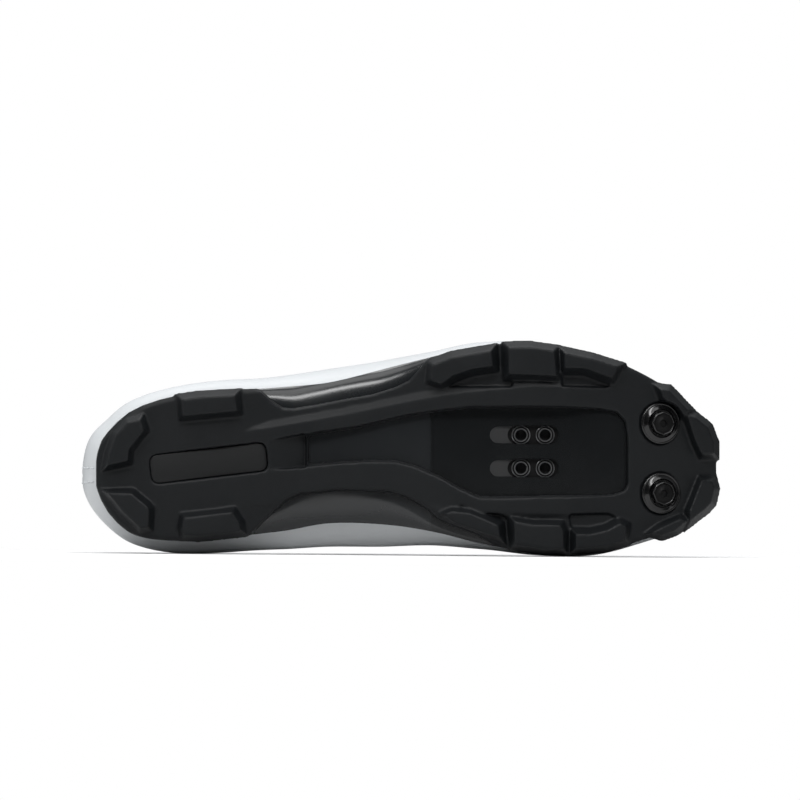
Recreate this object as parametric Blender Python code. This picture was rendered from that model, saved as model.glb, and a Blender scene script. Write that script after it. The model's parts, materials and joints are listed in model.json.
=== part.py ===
"""A right cycling shoe for clipless pedals, lying on its inner side.

The shoe is drawn in its own axes: X runs forward from the heel, Y to the inner
side of the foot, Z up from the ground that the tread blocks stand on. At the end
the whole shoe is laid on its inner side, on the floor that is Z = 0.
"""

import math

import bmesh
import bpy
from mathutils import Matrix, Vector
from mathutils.geometry import intersect_point_tri

# Driving sizes of the last, in metres
LENGTH = 0.270
BALL_WIDTH = 0.0922
HEEL_WIDTH = 0.0625
INSTEP_HEIGHT = 0.089
COLLAR_HEIGHT = 0.078
COLLAR_WIDTH = 0.057
SWELL = 0.010
BELT_HEIGHT = 0.020
TAPER = (0.25, 0.62)
FOOT_ARC = 60.0

# Driving sizes of the sole
BLOCK_HEIGHT = 0.0055
BLOCK_DRAFT = 0.0032
BLOCK_ROOT = 0.0020
ARCH_RISE = 0.008
TOE_SPRING = 0.022
HEEL_BEVEL = 0.004
HEEL_STACK = 0.0165
BALL_STACK = 0.011
RUBBER = 0.0026
HEEL_RUBBER = 0.0075
EDGE_ROUND = 0.0016
EDGE_SLOPE = 0.8
FLANK_WIDTH = 0.013
FLANK_LIP = 0.0010
FLANK_FADE = (0.12, 0.745)
PIT_DEPTH = 0.0015
DECK_HEIGHT = 0.0016
DECK_SLOPE = 0.0058
RAMP_EDGE = 0.0006
WINDOW_DRAFT = 0.0036
WAIST_DRAFT = 0.0030

# Cleat pocket, slots, nut plate and studs
POCKET_HEIGHT = 0.0110
WEB = 0.0022
SLOT_LENGTH = 0.0215
SLOT_WIDTH = 0.0075
SLOT_SPACING = 0.014
BOLT_SPACING = 0.0102
BOLT_HOLE = 0.0044
NUT_LENGTH = 0.027
NUT_WIDTH = 0.026
NUT_THICKNESS = 0.0025
STUD_RADIUS = 0.00875
STUD_CAP = 0.0060
STUD_RISE = 0.0042
STUD_SHANK = 0.0025
STUD_SHANK_LENGTH = 0.0040
STUD_SEAT = 0.0009
STUD_RIM = 0.0010
STUD_CHAMFER = 0.0012
STUD_DISH = 0.0005
STUD_ROOT = 0.0002
STUD_SOCKET = 0.0018
INLAY_WIDTH = 0.0125
INLAY_DEPTH = 0.0016
INLAY_CORNER = 0.0032

# Soft parts
WALL = 0.0021
TUCK = 0.0014
INSOLE = 0.0030
TONGUE = 0.0032
TONGUE_LAP = 0.010
TONGUE_TAPER = 0.05
TONGUE_CROWN = 0.0008
TONGUE_TOP = 0.020
TONGUE_ENDS = (12.8, 8.5)
EYELETS = 6
EYELET_ENDS = (8.35, 12.15)
EYELET_HOLE = 0.0040
EYELET_INSET = 0.0075
LACE_WIDTH = 0.0052
LACE_THICKNESS = 0.0016

# Clearances between neighbours
GAP = 0.0003
SOFT_GAP = 0.0005
TONGUE_GAP = 0.0012
LACE_GAP = 0.0006

# Fineness of the facets, and small steps for slopes and for walking along a curve
STEPS = 2
RISERS = 7
STATIONS = 34
SIDE_STEPS = 8
TONGUE_SECTIONS = 10
ROUND = 16
STUD_SIDES = 24
SMALL_ROUND = 8
PLACE_STEP = 0.05
CLIMB_STEP = 0.02
WALK_STEP = 0.01
SLOPE_STEP = 0.004
END_INSET = 0.0004
CORNER_SHARE = 0.3
MITRE_LIMIT = 0.5
INNER_FACING = 0.5
TOP = 2.0


def table(names, rows):
    """Rows of numbers as one list for each named column."""
    return {name: [row[i] for row in rows] for i, name in enumerate(names.split())}


# Edge of the sole and form of the last. A row is one section from heel to toe. share: of the length.
# outer, inner: edge of the sole, of the breadth there. swell: of SWELL, the upper's bulge past that edge.
# belt: of BELT_HEIGHT, where it is widest. arc: degrees that the wall turns from there to its top edge.
# lip, lip_outer, lip_inner: top edge, of the length and of COLLAR_WIDTH. collar, instep: its height.
LAST = table(
    "share outer inner swell_outer swell_inner belt arc lip lip_outer lip_inner collar instep",
    [
        (0.025, 0.047, 0.047, 0.67, 0.67, 0.75, 50, 0.024, 0.020, 0.020, 1.000, 0.000),
        (0.031, -0.148, 0.182, 0.63, 0.63, 0.74, 50, 0.034, -0.170, 0.190, 0.985, 0.000),
        (0.050, -0.270, 0.324, 0.50, 0.48, 0.64, 52, 0.066, -0.310, 0.320, 0.955, 0.000),
        (0.086, -0.398, 0.449, 0.46, 0.40, 0.54, 54, 0.118, -0.410, 0.420, 0.895, 0.000),
        (0.148, -0.486, 0.489, 0.44, 0.52, 0.48, 56, 0.185, -0.475, 0.490, 0.830, 0.000),
        (0.226, -0.528, 0.472, 0.47, 0.60, 0.54, 58, 0.252, -0.500, 0.510, 0.800, 0.005),
        (0.312, -0.531, 0.411, 0.50, 0.76, 0.72, 62, 0.318, -0.475, 0.490, 0.560, 0.265),
        (0.390, -0.506, 0.321, 0.61, 0.99, 0.92, 68, 0.372, -0.405, 0.430, 0.210, 0.655),
        (0.476, -0.513, 0.288, 0.40, 0.94, 0.95, 74, 0.412, -0.305, 0.340, 0.000, 0.990),
        (0.554, -0.527, 0.299, 0.27, 0.60, 0.75, 80, 0.455, -0.230, 0.265, 0.000, 0.965),
        (0.632, -0.562, 0.346, 0.19, 0.25, 0.55, 84, 0.508, -0.195, 0.230, 0.000, 0.895),
        (0.718, -0.572, 0.390, 0.08, 0.08, 0.42, 86, 0.556, -0.170, 0.205, 0.000, 0.822),
        (0.804, -0.524, 0.388, 0.04, 0.08, 0.38, 84, 0.590, -0.130, 0.170, 0.000, 0.768),
        (0.882, -0.430, 0.325, 0.02, 0.12, 0.36, 80, 0.609, -0.090, 0.132, 0.000, 0.738),
        (0.945, -0.313, 0.261, 0.00, 0.10, 0.36, 77, 0.619, -0.050, 0.093, 0.000, 0.726),
        (0.980, -0.210, 0.197, -0.05, -0.05, 0.36, 76, 0.624, -0.022, 0.065, 0.000, 0.718),
        (0.994, -0.128, 0.119, -0.10, -0.10, 0.36, 76, 0.627, 0.000, 0.042, 0.000, 0.715),
        (0.998, 0.000, 0.000, -0.12, -0.12, 0.36, 76, 0.628, 0.020, 0.020, 0.000, 0.714),
    ],
)

# Side view of the sole. arch, toe, bevel: rise of the tread floor, of ARCH_RISE, TOE_SPRING and HEEL_BEVEL.
# heel, ball: height of the sole over that floor, of HEEL_STACK and BALL_STACK. flank: of FLANK_WIDTH.
# deck: height of the raised deck under it, of DECK_HEIGHT.
PROFILE = table(
    "share arch toe bevel heel ball flank deck",
    [
        (0.00, 0.00, 0.00, 1.00, 1.00, 0.00, 0.12, -0.25),
        (0.05, 0.00, 0.00, 0.45, 1.00, 0.00, 0.12, -0.25),
        (0.10, 0.00, 0.00, 0.10, 1.00, 0.00, 0.12, -0.25),
        (0.17, 0.00, 0.00, 0.00, 1.00, 0.00, 0.12, -0.25),
        (0.24, 0.06, 0.00, 0.00, 0.90, 0.11, 0.15, -0.25),
        (0.30, 0.50, 0.00, 0.00, 0.62, 0.24, 0.60, 0.95),
        (0.36, 0.91, 0.00, 0.00, 0.30, 0.38, 1.00, 1.00),
        (0.42, 1.00, 0.00, 0.00, 0.08, 0.57, 1.00, 1.00),
        (0.50, 0.62, 0.00, 0.00, 0.00, 0.82, 0.70, 1.00),
        (0.56, 0.25, 0.00, 0.00, 0.00, 1.00, 0.20, 1.00),
        (0.62, 0.03, 0.00, 0.00, 0.00, 1.02, 0.12, 1.00),
        (0.68, 0.00, 0.00, 0.00, 0.00, 1.00, 0.12, 1.00),
        (0.76, 0.00, 0.03, 0.00, 0.00, 0.93, 0.12, 0.80),
        (0.82, 0.00, 0.14, 0.00, 0.00, 0.83, 0.12, -0.10),
        (0.88, 0.00, 0.34, 0.00, 0.00, 0.73, 0.12, -0.25),
        (0.94, 0.00, 0.61, 0.00, 0.00, 0.61, 0.12, -0.25),
        (1.00, 0.00, 1.00, 0.00, 0.00, 0.50, 0.12, -0.25),
    ],
)

# Ground faces of the tread blocks, as shares of the length and of the breadth there
BLOCKS = {
    "heel_back_outer": [(0.045, -0.020), (0.049, -0.108), (0.059, -0.223), (0.077, -0.304), (0.096, -0.327),
                        (0.102, -0.256), (0.078, -0.125), (0.077, -0.051)],
    "heel_back_inner": [(0.047, 0.169), (0.070, 0.290), (0.098, 0.402), (0.109, 0.395), (0.110, 0.273),
                        (0.105, 0.250), (0.083, 0.172)],
    "heel_side_outer": [(0.161, -0.459), (0.187, -0.476), (0.244, -0.490), (0.247, -0.385), (0.211, -0.371),
                        (0.163, -0.351)],
    "heel_side_inner": [(0.162, 0.405), (0.165, 0.334), (0.240, 0.297), (0.251, 0.371), (0.252, 0.420),
                        (0.187, 0.450), (0.165, 0.445)],
    "ball_rear_outer": [(0.551, -0.485), (0.582, -0.510), (0.642, -0.535), (0.644, -0.466), (0.612, -0.453),
                        (0.582, -0.427), (0.564, -0.392), (0.548, -0.416)],
    "ball_mid_outer": [(0.670, -0.548), (0.703, -0.550), (0.740, -0.535), (0.743, -0.421), (0.670, -0.430)],
    "ball_front_outer": [(0.757, -0.524), (0.799, -0.498), (0.840, -0.462), (0.830, -0.412), (0.815, -0.428),
                         (0.788, -0.457), (0.757, -0.457)],
    "ball_rear_inner": [(0.570, 0.214), (0.581, 0.199), (0.609, 0.206), (0.632, 0.233), (0.653, 0.261),
                        (0.655, 0.311), (0.624, 0.284), (0.585, 0.247)],
    "ball_mid_inner": [(0.678, 0.242), (0.706, 0.258), (0.750, 0.261), (0.754, 0.288), (0.754, 0.366),
                       (0.726, 0.368), (0.680, 0.345)],
    "ball_front_inner": [(0.774, 0.300), (0.796, 0.302), (0.823, 0.284), (0.843, 0.252), (0.852, 0.264),
                         (0.850, 0.328), (0.820, 0.355), (0.774, 0.363)],
    "toe_side_outer": [(0.907, -0.360), (0.920, -0.355), (0.950, -0.265), (0.945, -0.245), (0.930, -0.274),
                       (0.912, -0.325)],
    "toe_tip_outer": [(0.950, -0.240), (0.962, -0.232), (0.982, -0.187), (0.991, -0.119), (0.991, -0.069),
                      (0.973, -0.066), (0.962, -0.134)],
    "toe_tip_inner": [(0.973, 0.055), (0.989, 0.059), (0.992, 0.091), (0.987, 0.155), (0.978, 0.182),
                      (0.954, 0.236), (0.953, 0.197)],
    "toe_side_inner": [(0.896, 0.292), (0.909, 0.301), (0.930, 0.279), (0.947, 0.240), (0.939, 0.232),
                       (0.908, 0.272)],
}

# Hollows between the blocks, the through window, the ramp down to its rear end, the waist cut-backs and the
# raised deck
PITS = {
    "pit_rear_outer": [(0.568, -0.377), (0.587, -0.405), (0.615, -0.439), (0.645, -0.455), (0.646, -0.640),
                       (0.664, -0.640), (0.665, -0.430), (0.676, -0.416), (0.676, -0.370)],
    "pit_front_outer": [(0.749, -0.444), (0.790, -0.448), (0.815, -0.416), (0.831, -0.398), (0.826, -0.370),
                        (0.753, -0.373)],
    "pit_slit_inner": [(0.582, 0.189), (0.596, 0.168), (0.607, 0.174), (0.593, 0.202)],
    "pit_rear_inner": [(0.626, 0.201), (0.656, 0.210), (0.676, 0.238), (0.674, 0.440), (0.659, 0.440),
                       (0.659, 0.256), (0.648, 0.233)],
    "pit_front_inner": [(0.763, 0.210), (0.826, 0.206), (0.846, 0.238), (0.823, 0.279), (0.796, 0.293),
                        (0.767, 0.290)],
}
WINDOW = [(0.352, -0.216), (0.373, -0.228), (0.437, -0.239), (0.507, -0.268), (0.548, -0.276),
          (0.607, -0.288), (0.810, -0.284), (0.840, -0.270), (0.856, -0.222), (0.860, -0.134),
          (0.860, 0.075), (0.853, 0.114), (0.831, 0.133), (0.742, 0.137), (0.624, 0.142), (0.592, 0.101),
          (0.562, 0.050), (0.523, -0.001), (0.494, -0.025), (0.454, -0.029), (0.373, -0.012), (0.352, -0.004)]
RAMP = [(0.297, -0.185), (0.352, -0.216), (0.354, -0.216), (0.354, -0.004), (0.352, -0.004), (0.297, 0.010)]
POCKET = [(0.552, -0.262), (0.610, -0.272), (0.800, -0.268), (0.820, -0.200), (0.820, 0.080), (0.800, 0.118),
          (0.628, 0.124), (0.596, 0.084), (0.552, 0.020)]
WAIST_OUTER = [(0.265, -0.529), (0.281, -0.502), (0.300, -0.422), (0.316, -0.376), (0.333, -0.363),
               (0.373, -0.369), (0.459, -0.377), (0.496, -0.396), (0.518, -0.420), (0.532, -0.464),
               (0.542, -0.496), (0.560, -0.536), (0.540, -0.800), (0.280, -0.800)]
WAIST_INNER = [(0.265, 0.436), (0.281, 0.354), (0.316, 0.211), (0.340, 0.151), (0.405, 0.112), (0.481, 0.109),
               (0.502, 0.122), (0.523, 0.149), (0.545, 0.187), (0.560, 0.225), (0.580, 0.253), (0.623, 0.296),
               (0.650, 0.345), (0.620, 0.700), (0.280, 0.700)]
DECK = [(0.250, -0.240), (0.275, -0.258), (0.300, -0.270), (0.336, -0.284), (0.373, -0.295), (0.415, -0.303),
        (0.454, -0.312), (0.500, -0.323), (0.534, -0.331), (0.569, -0.339), (0.606, -0.348), (0.660, -0.362),
        (0.710, -0.374), (0.760, -0.372), (0.800, -0.358), (0.826, -0.330), (0.826, 0.170), (0.800, 0.196),
        (0.763, 0.205), (0.700, 0.205), (0.656, 0.200), (0.626, 0.205), (0.608, 0.222), (0.590, 0.250),
        (0.561, 0.213), (0.534, 0.158), (0.496, 0.112), (0.450, 0.106), (0.405, 0.106), (0.340, 0.145),
        (0.300, 0.230), (0.250, 0.250)]

# Sections of the tongue's free end. reach, rise: shift on from the last eyelets, of TONGUE_TOP. wide: of the
# last section's width.
TONGUE_TIP = table(
    "reach rise wide",
    [
        (0.40, 0.00, 0.80),
        (0.75, 0.22, 0.74),
        (1.00, 0.50, 0.56),
    ],
)

# Ends of the heel inlay's middle line, middle of the slots, and the studs, as shares like those above
INLAY_REAR = (0.111, 0.012)
INLAY_FRONT = (0.2935, -0.080)
CLEAT_PLACE = (0.708, -0.0765)
STUDS = {"outer": (0.907, -0.206), "inner": (0.908, 0.114)}

# Colour, roughness, metallic and density in kg per cubic metre of each material
MATERIALS = {
    "upper_sheet": ((0.62, 0.64, 0.66), 0.45, 0.0, 900.0),
    "tongue_fabric": ((0.55, 0.57, 0.59), 0.80, 0.0, 350.0),
    "insole_foam": ((0.10, 0.10, 0.11), 0.85, 0.0, 250.0),
    "nylon": ((0.012, 0.012, 0.013), 0.22, 0.0, 1150.0),
    "rubber": ((0.014, 0.014, 0.015), 0.62, 0.0, 1150.0),
    "inlay_rubber": ((0.012, 0.012, 0.013), 0.55, 0.0, 1150.0),
    "stud_plastic": ((0.010, 0.010, 0.011), 0.18, 0.0, 1150.0),
    "nut_steel": ((0.10, 0.10, 0.11), 0.35, 1.0, 7800.0),
    "lace_cord": ((0.60, 0.62, 0.64), 0.80, 0.0, 700.0),
}


def curve_value(xs, ys, x):
    """Smooth value of a column at x, with tangents from the neighbouring rows."""
    if x <= xs[0]:
        return ys[0]
    if x >= xs[-1]:
        return ys[-1]
    i = max(k for k in range(len(xs) - 1) if xs[k] <= x)

    def slope(k):
        low = max(k - 1, 0)
        high = min(k + 1, len(xs) - 1)
        return (ys[high] - ys[low]) / (xs[high] - xs[low])

    span = xs[i + 1] - xs[i]
    t = (x - xs[i]) / span
    start = ys[i] * (1 + 2 * t) * (1 - t) ** 2 + slope(i) * span * t * (1 - t) ** 2
    end = ys[i + 1] * t * t * (3 - 2 * t) - slope(i + 1) * span * t * t * (1 - t)
    return start + end


def profile(name, x):
    return curve_value(PROFILE["share"], PROFILE[name], x / LENGTH)


def breadth(share):
    """Width that the cross shares follow: the heel's, growing to the ball's."""
    low, high = TAPER
    t = min(1.0, max(0.0, (share - low) / (high - low)))
    return HEEL_WIDTH + (BALL_WIDTH - HEEL_WIDTH) * t * t * (3 - 2 * t)


def plan(share, across):
    return Vector((share * LENGTH, across * breadth(share), 0.0))


def tread_floor(x):
    """Height of the rubber's face between the blocks."""
    rise = ARCH_RISE * profile("arch", x) + TOE_SPRING * profile("toe", x)
    return BLOCK_HEIGHT + rise + HEEL_BEVEL * profile("bevel", x)


def seat(x):
    """Height of the top of the sole, where the upper and the insole stand."""
    stack = HEEL_STACK * profile("heel", x) + BALL_STACK * profile("ball", x)
    return tread_floor(x) - HEEL_BEVEL * profile("bevel", x) + stack


def deck_face(x):
    """Height of the raised deck's face. At its ends it dips into the rubber."""
    return tread_floor(x) - DECK_HEIGHT * profile("deck", x)


def rubber_top(x):
    thick = RUBBER + (HEEL_RUBBER - RUBBER) * profile("heel", x)
    return tread_floor(x) - HEEL_BEVEL * profile("bevel", x) + thick


# Places round the last are numbered: 0 at the heel, rising along the outer side to the toe, then back along
# the inner side. The whole numbers are the rows of LAST.
ROWS = len(LAST["share"])
AROUND = 2 * (ROWS - 1)


def row_at(place):
    place %= AROUND
    return (place, "outer") if place <= ROWS - 1 else (AROUND - place, "inner")


def around(column, place):
    """Smooth value of a column at a place round the last, closed through heel and toe."""
    base = math.floor(place)
    t = place - base

    def at(k):
        row, side = row_at(k)
        name = column if column in LAST else column + side
        return LAST[name][int(row)]

    a, b, c, d = (at(base + k) for k in (-1, 0, 1, 2))
    bend = (2 * a - 5 * b + 4 * c - d) * t * t
    return 0.5 * (2 * b + (c - a) * t + bend + (3 * b - a - 3 * c + d) * t ** 3)


def edge_point(place):
    """Edge of the sole in plan."""
    return plan(around("share", place), around("", place))


def outward(place):
    """Plan direction square to the sole's edge, away from the foot."""
    along = edge_point(place + PLACE_STEP) - edge_point(place - PLACE_STEP)
    return Vector((along.y, -along.x, 0.0)).normalized()


def lip_point(place):
    """Top edge of the upper: the collar and the sides of the throat."""
    height = COLLAR_HEIGHT * around("collar", place) + INSTEP_HEIGHT * around("instep", place)
    return Vector((LENGTH * around("lip", place), COLLAR_WIDTH * around("lip_", place), height))


def upper_point(place, climb):
    """Outer face of the upper. climb: 0 at the sole, 1 at the belt, 2 at the top edge."""
    edge = edge_point(place)
    foot = edge - outward(place) * TUCK
    foot.z = seat(edge.x) + GAP
    belt = edge + outward(place) * SWELL * around("swell_", place)
    belt.z = foot.z + BELT_HEIGHT * around("belt", place)
    if climb <= 1.0:
        start = math.radians(FOOT_ARC)
        angle = (1.0 - climb) * start
        out = (math.cos(angle) - math.cos(start)) / (1.0 - math.cos(start))
        up = 1.0 - math.sin(angle) / math.sin(start)
        return Vector((foot.x + (belt.x - foot.x) * out, foot.y + (belt.y - foot.y) * out,
                       foot.z + (belt.z - foot.z) * up))
    end = math.radians(around("arc", place))
    angle = (climb - 1.0) * end
    inward = (1.0 - math.cos(angle)) / (1.0 - math.cos(end))
    up = math.sin(angle) / math.sin(end)
    lip = lip_point(place)
    return Vector((belt.x + (lip.x - belt.x) * inward, belt.y + (lip.y - belt.y) * inward,
                   belt.z + (lip.z - belt.z) * up))


def upper_normal(place, climb):
    along = upper_point(place + PLACE_STEP, climb) - upper_point(place - PLACE_STEP, climb)
    low = min(climb, TOP - CLIMB_STEP)
    rise = upper_point(place, low + CLIMB_STEP) - upper_point(place, low - CLIMB_STEP)
    return along.cross(rise).normalized()


def climb_below_lip(place, distance):
    """Climb value of the point that lies so far below the top edge, along the wall."""
    climb = TOP
    walked = 0.0
    last = upper_point(place, climb)
    while walked < distance:
        climb -= WALK_STEP
        point = upper_point(place, climb)
        walked += (point - last).length
        last = point
    return climb


def clear_scene():
    for obj in list(bpy.data.objects):
        bpy.data.objects.remove(obj, do_unlink=True)


def material(name):
    found = bpy.data.materials.get(name)
    if found:
        return found
    colour, roughness, metallic, _ = MATERIALS[name]
    made = bpy.data.materials.new(name)
    made.use_nodes = True
    shader = made.node_tree.nodes["Principled BSDF"]
    shader.inputs["Base Color"].default_value = (*colour, 1.0)
    shader.inputs["Roughness"].default_value = roughness
    shader.inputs["Metallic"].default_value = metallic
    return made


def add_object(name, bm, stuff=None):
    """Object from a bmesh, closed and with its faces outwards. Without a material it is a guide."""
    bmesh.ops.recalc_face_normals(bm, faces=bm.faces)
    mesh = bpy.data.meshes.new(name)
    bm.to_mesh(mesh)
    bm.free()
    obj = bpy.data.objects.new(name, mesh)
    bpy.context.collection.objects.link(obj)
    if stuff:
        mesh.materials.append(material(stuff))
    else:
        obj.hide_render = True
        obj.display_type = "WIRE"
    return obj


def smooth(obj, degrees=35.0):
    obj.data.shade_smooth()
    obj.data.set_sharp_from_angle(angle=math.radians(degrees))


def boolean(obj, other, operation):
    mod = obj.modifiers.new(other.name, "BOOLEAN")
    mod.object = other
    mod.operation = operation
    mod.solver = "EXACT"
    mod.use_self = operation == "UNION"


def loft(rings):
    """Closed body through rings of equally many points."""
    bm = bmesh.new()
    loops = [[bm.verts.new(p) for p in ring] for ring in rings]
    count = len(rings[0])
    for low, high in zip(loops, loops[1:]):
        for i in range(count):
            j = (i + 1) % count
            bm.faces.new((low[i], low[j], high[j], high[i]))
    caps = [bm.faces.new(loops[0]), bm.faces.new(loops[-1])]
    bmesh.ops.triangulate(bm, faces=caps)
    return bm


def grown(outline, distance):
    """Plan outline with each side moved out by the distance."""
    turn = sum(a.x * b.y - b.x * a.y for a, b in zip(outline, outline[1:] + outline[:1]))
    sign = 1.0 if turn > 0 else -1.0
    points = []
    for i, p in enumerate(outline):
        back = (p - outline[i - 1]).normalized()
        ahead = (outline[(i + 1) % len(outline)] - p).normalized()
        out = Vector((back.y + ahead.y, -back.x - ahead.x, 0.0)).normalized() * sign
        square = Vector((back.y, -back.x, 0.0)) * sign
        points.append(p + out * distance / max(MITRE_LIMIT, out.dot(square)))
    return points


def prism(outline, bottom, top, spread=0.0, into=None):
    """Upright body on a plan outline. bottom, top: height, or a function of x. spread: wider at its top."""
    bm = into or bmesh.new()
    low = []
    high = []
    for p, wide in zip(outline, grown(outline, spread)):
        low.append(bm.verts.new((p.x, p.y, bottom(p.x) if callable(bottom) else bottom)))
        high.append(bm.verts.new((wide.x, wide.y, top(wide.x) if callable(top) else top)))
    count = len(outline)
    for i in range(count):
        j = (i + 1) % count
        bm.faces.new((low[i], low[j], high[j], high[i]))
    caps = [bm.faces.new(low), bm.faces.new(high)]
    bmesh.ops.triangulate(bm, faces=caps)
    return bm


def outline_sides(inset):
    """Outer and inner side of the sole's edge, drawn in by the inset, each from heel to toe."""
    sides = []
    for start, end in ((0, ROWS - 1), (AROUND, ROWS - 1)):
        count = SIDE_STEPS * (ROWS - 1)
        places = [start + (end - start) * k / count for k in range(count + 1)]
        sides.append([edge_point(p) - outward(p) * inset for p in places])
    return sides


def side_value(side, x):
    for a, b in zip(side, side[1:]):
        if a.x <= x <= b.x and b.x > a.x:
            return a.y + (b.y - a.y) * (x - a.x) / (b.x - a.x)
    return side[0].y if x < side[0].x else side[-1].y


def slab(inset, bottom, top, corner, lift):
    """Body inside the sole's edge between two heights. corner, lift: width and rise of its lower corners."""
    outer, inner = outline_sides(inset)
    start = outer[0].x + END_INSET
    end = outer[-1].x - END_INSET
    rings = []
    for k in range(STATIONS + 1):
        x = start + (end - start) * 0.5 * (1.0 - math.cos(math.pi * k / STATIONS))
        left = side_value(outer, x)
        right = side_value(inner, x)
        width = min(corner(x), CORNER_SHARE * (right - left))
        rise = lift(x) * width / corner(x)
        low = bottom(x)
        middle = 0.5 * (left + right)
        ring = [(x, left, low + rise), (x, left + width, low), (x, middle, low), (x, right - width, low),
                (x, right, low + rise), (x, right, top(x)), (x, middle, top(x)), (x, left, top(x))]
        rings.append([Vector(p) for p in ring])
    return loft(rings)


def disc(radius, count, centre=(0.0, 0.0)):
    turn = 2.0 * math.pi / count
    return [Vector((centre[0] + radius * math.cos(turn * k), centre[1] + radius * math.sin(turn * k), 0.0))
            for k in range(count)]


def turned(profile_points, count):
    """Body turned about Z from rows of radius and height, closed on the axis."""
    bm = bmesh.new()
    rings = []
    for radius, height in profile_points:
        if radius:
            rings.append([bm.verts.new((p.x, p.y, height)) for p in disc(radius, count)])
        else:
            rings.append([bm.verts.new((0.0, 0.0, height))])
    for low, high in zip(rings, rings[1:]):
        for i in range(count):
            j = (i + 1) % count
            corners = (low[i % len(low)], low[j % len(low)], high[j % len(high)], high[i % len(high)])
            bm.faces.new(list(dict.fromkeys(corners)))
    return bm


def capsule(centre, length, width):
    """Plan outline with round ends, long way along X."""
    radius = 0.5 * width
    reach = 0.5 * length - radius
    points = []
    for k in range(ROUND + 2):
        half = k <= ROUND // 2
        angle = math.pi * (k if half else k - 1) / (ROUND // 2) - 0.5 * math.pi
        shift = reach if half else -reach
        arc = Vector((math.cos(angle), math.sin(angle), 0.0)) * radius
        points.append(Vector((centre.x + shift, centre.y, 0.0)) + arc)
    return points


def round_bar(start, end, width, corner):
    """Plan outline of a bar between two points with rounded corners."""
    along = (end - start).normalized()
    side = Vector((-along.y, along.x, 0.0))
    half = side * (0.5 * width - corner)
    rear = start + along * corner
    front = end - along * corner
    points = []
    for centre, first in ((rear - half, 180), (front - half, 270), (front + half, 0), (rear + half, 90)):
        for k in range(4):
            angle = math.radians(first + 30 * k)
            points.append(centre + (along * math.cos(angle) + side * math.sin(angle)) * corner)
    return points


def stud_matrix(share, across):
    """Axes of a stud: its Z leaves the tread square to the toe's slope."""
    at = plan(share, across)
    rise = tread_floor(at.x + SLOPE_STEP) - tread_floor(at.x - SLOPE_STEP)
    slope = math.atan2(rise, 2 * SLOPE_STEP)
    at.z = tread_floor(at.x)
    return Matrix.Translation(at) @ Matrix.Rotation(math.pi - slope, 4, "Y")


def below_ground(x):
    return -BLOCK_HEIGHT


def build_outsole():
    def edge_width(x):
        return EDGE_ROUND

    def edge_rise(x):
        return EDGE_SLOPE * EDGE_ROUND

    rubber = add_object("outsole", slab(0.0, tread_floor, rubber_top, edge_width, edge_rise), "rubber")

    deck = prism([plan(*p) for p in DECK], deck_face, lambda x: tread_floor(x) + DECK_HEIGHT, DECK_SLOPE)
    boolean(rubber, add_object("deck_guide", deck), "UNION")

    pits = bmesh.new()
    for outline in PITS.values():
        prism([plan(*p) for p in outline], below_ground, lambda x: tread_floor(x) + PIT_DEPTH, into=pits)
    boolean(rubber, add_object("pit_cutter", pits), "DIFFERENCE")

    blocks = bmesh.new()
    for outline in BLOCKS.values():
        prism([plan(*p) for p in outline], lambda x: tread_floor(x) - BLOCK_HEIGHT,
              lambda x: tread_floor(x) + BLOCK_ROOT, BLOCK_DRAFT, blocks)
    block_guide = add_object("block_guide", blocks)
    waist = bmesh.new()
    for outline in (WAIST_OUTER, WAIST_INNER):
        prism([plan(*p) for p in outline], lambda x: below_ground(x) - BLOCK_HEIGHT, seat, into=waist)
    boolean(block_guide, add_object("waist_guide", waist), "DIFFERENCE")
    boolean(rubber, block_guide, "UNION")

    openings = bmesh.new()
    for outline, draft in ((WINDOW, WINDOW_DRAFT), (WAIST_OUTER, WAIST_DRAFT), (WAIST_INNER, WAIST_DRAFT)):
        prism([plan(*p) for p in outline], lambda x: tread_floor(x) - 2 * DECK_HEIGHT,
              lambda x: rubber_top(x) + ARCH_RISE, -draft, openings)
    boolean(rubber, add_object("opening_cutter", openings), "DIFFERENCE")

    start = RAMP[0][0] * LENGTH
    end = RAMP[2][0] * LENGTH

    def ramp_top(x):
        fall = (x - start) / (end - start)
        return deck_face(x) + fall * (rubber_top(x) - RAMP_EDGE - deck_face(x))

    ramp = prism([plan(*p) for p in RAMP], below_ground, ramp_top)
    boolean(rubber, add_object("ramp_cutter", ramp), "DIFFERENCE")

    inlay = prism(inlay_outline(0.0), below_ground, lambda x: tread_floor(x) + INLAY_DEPTH)
    boolean(rubber, add_object("inlay_cutter", inlay), "DIFFERENCE")
    return rubber


def inlay_outline(inset):
    along = plan(*INLAY_FRONT) - plan(*INLAY_REAR)
    shift = along.normalized() * inset
    return round_bar(plan(*INLAY_REAR) + shift, plan(*INLAY_FRONT) - shift, INLAY_WIDTH - 2 * inset,
                     INLAY_CORNER - inset)


def build_heel_inlay():
    bm = prism(inlay_outline(GAP), lambda x: tread_floor(x) + GAP,
               lambda x: tread_floor(x) + INLAY_DEPTH - GAP)
    return add_object("heel_inlay", bm, "inlay_rubber")


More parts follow.
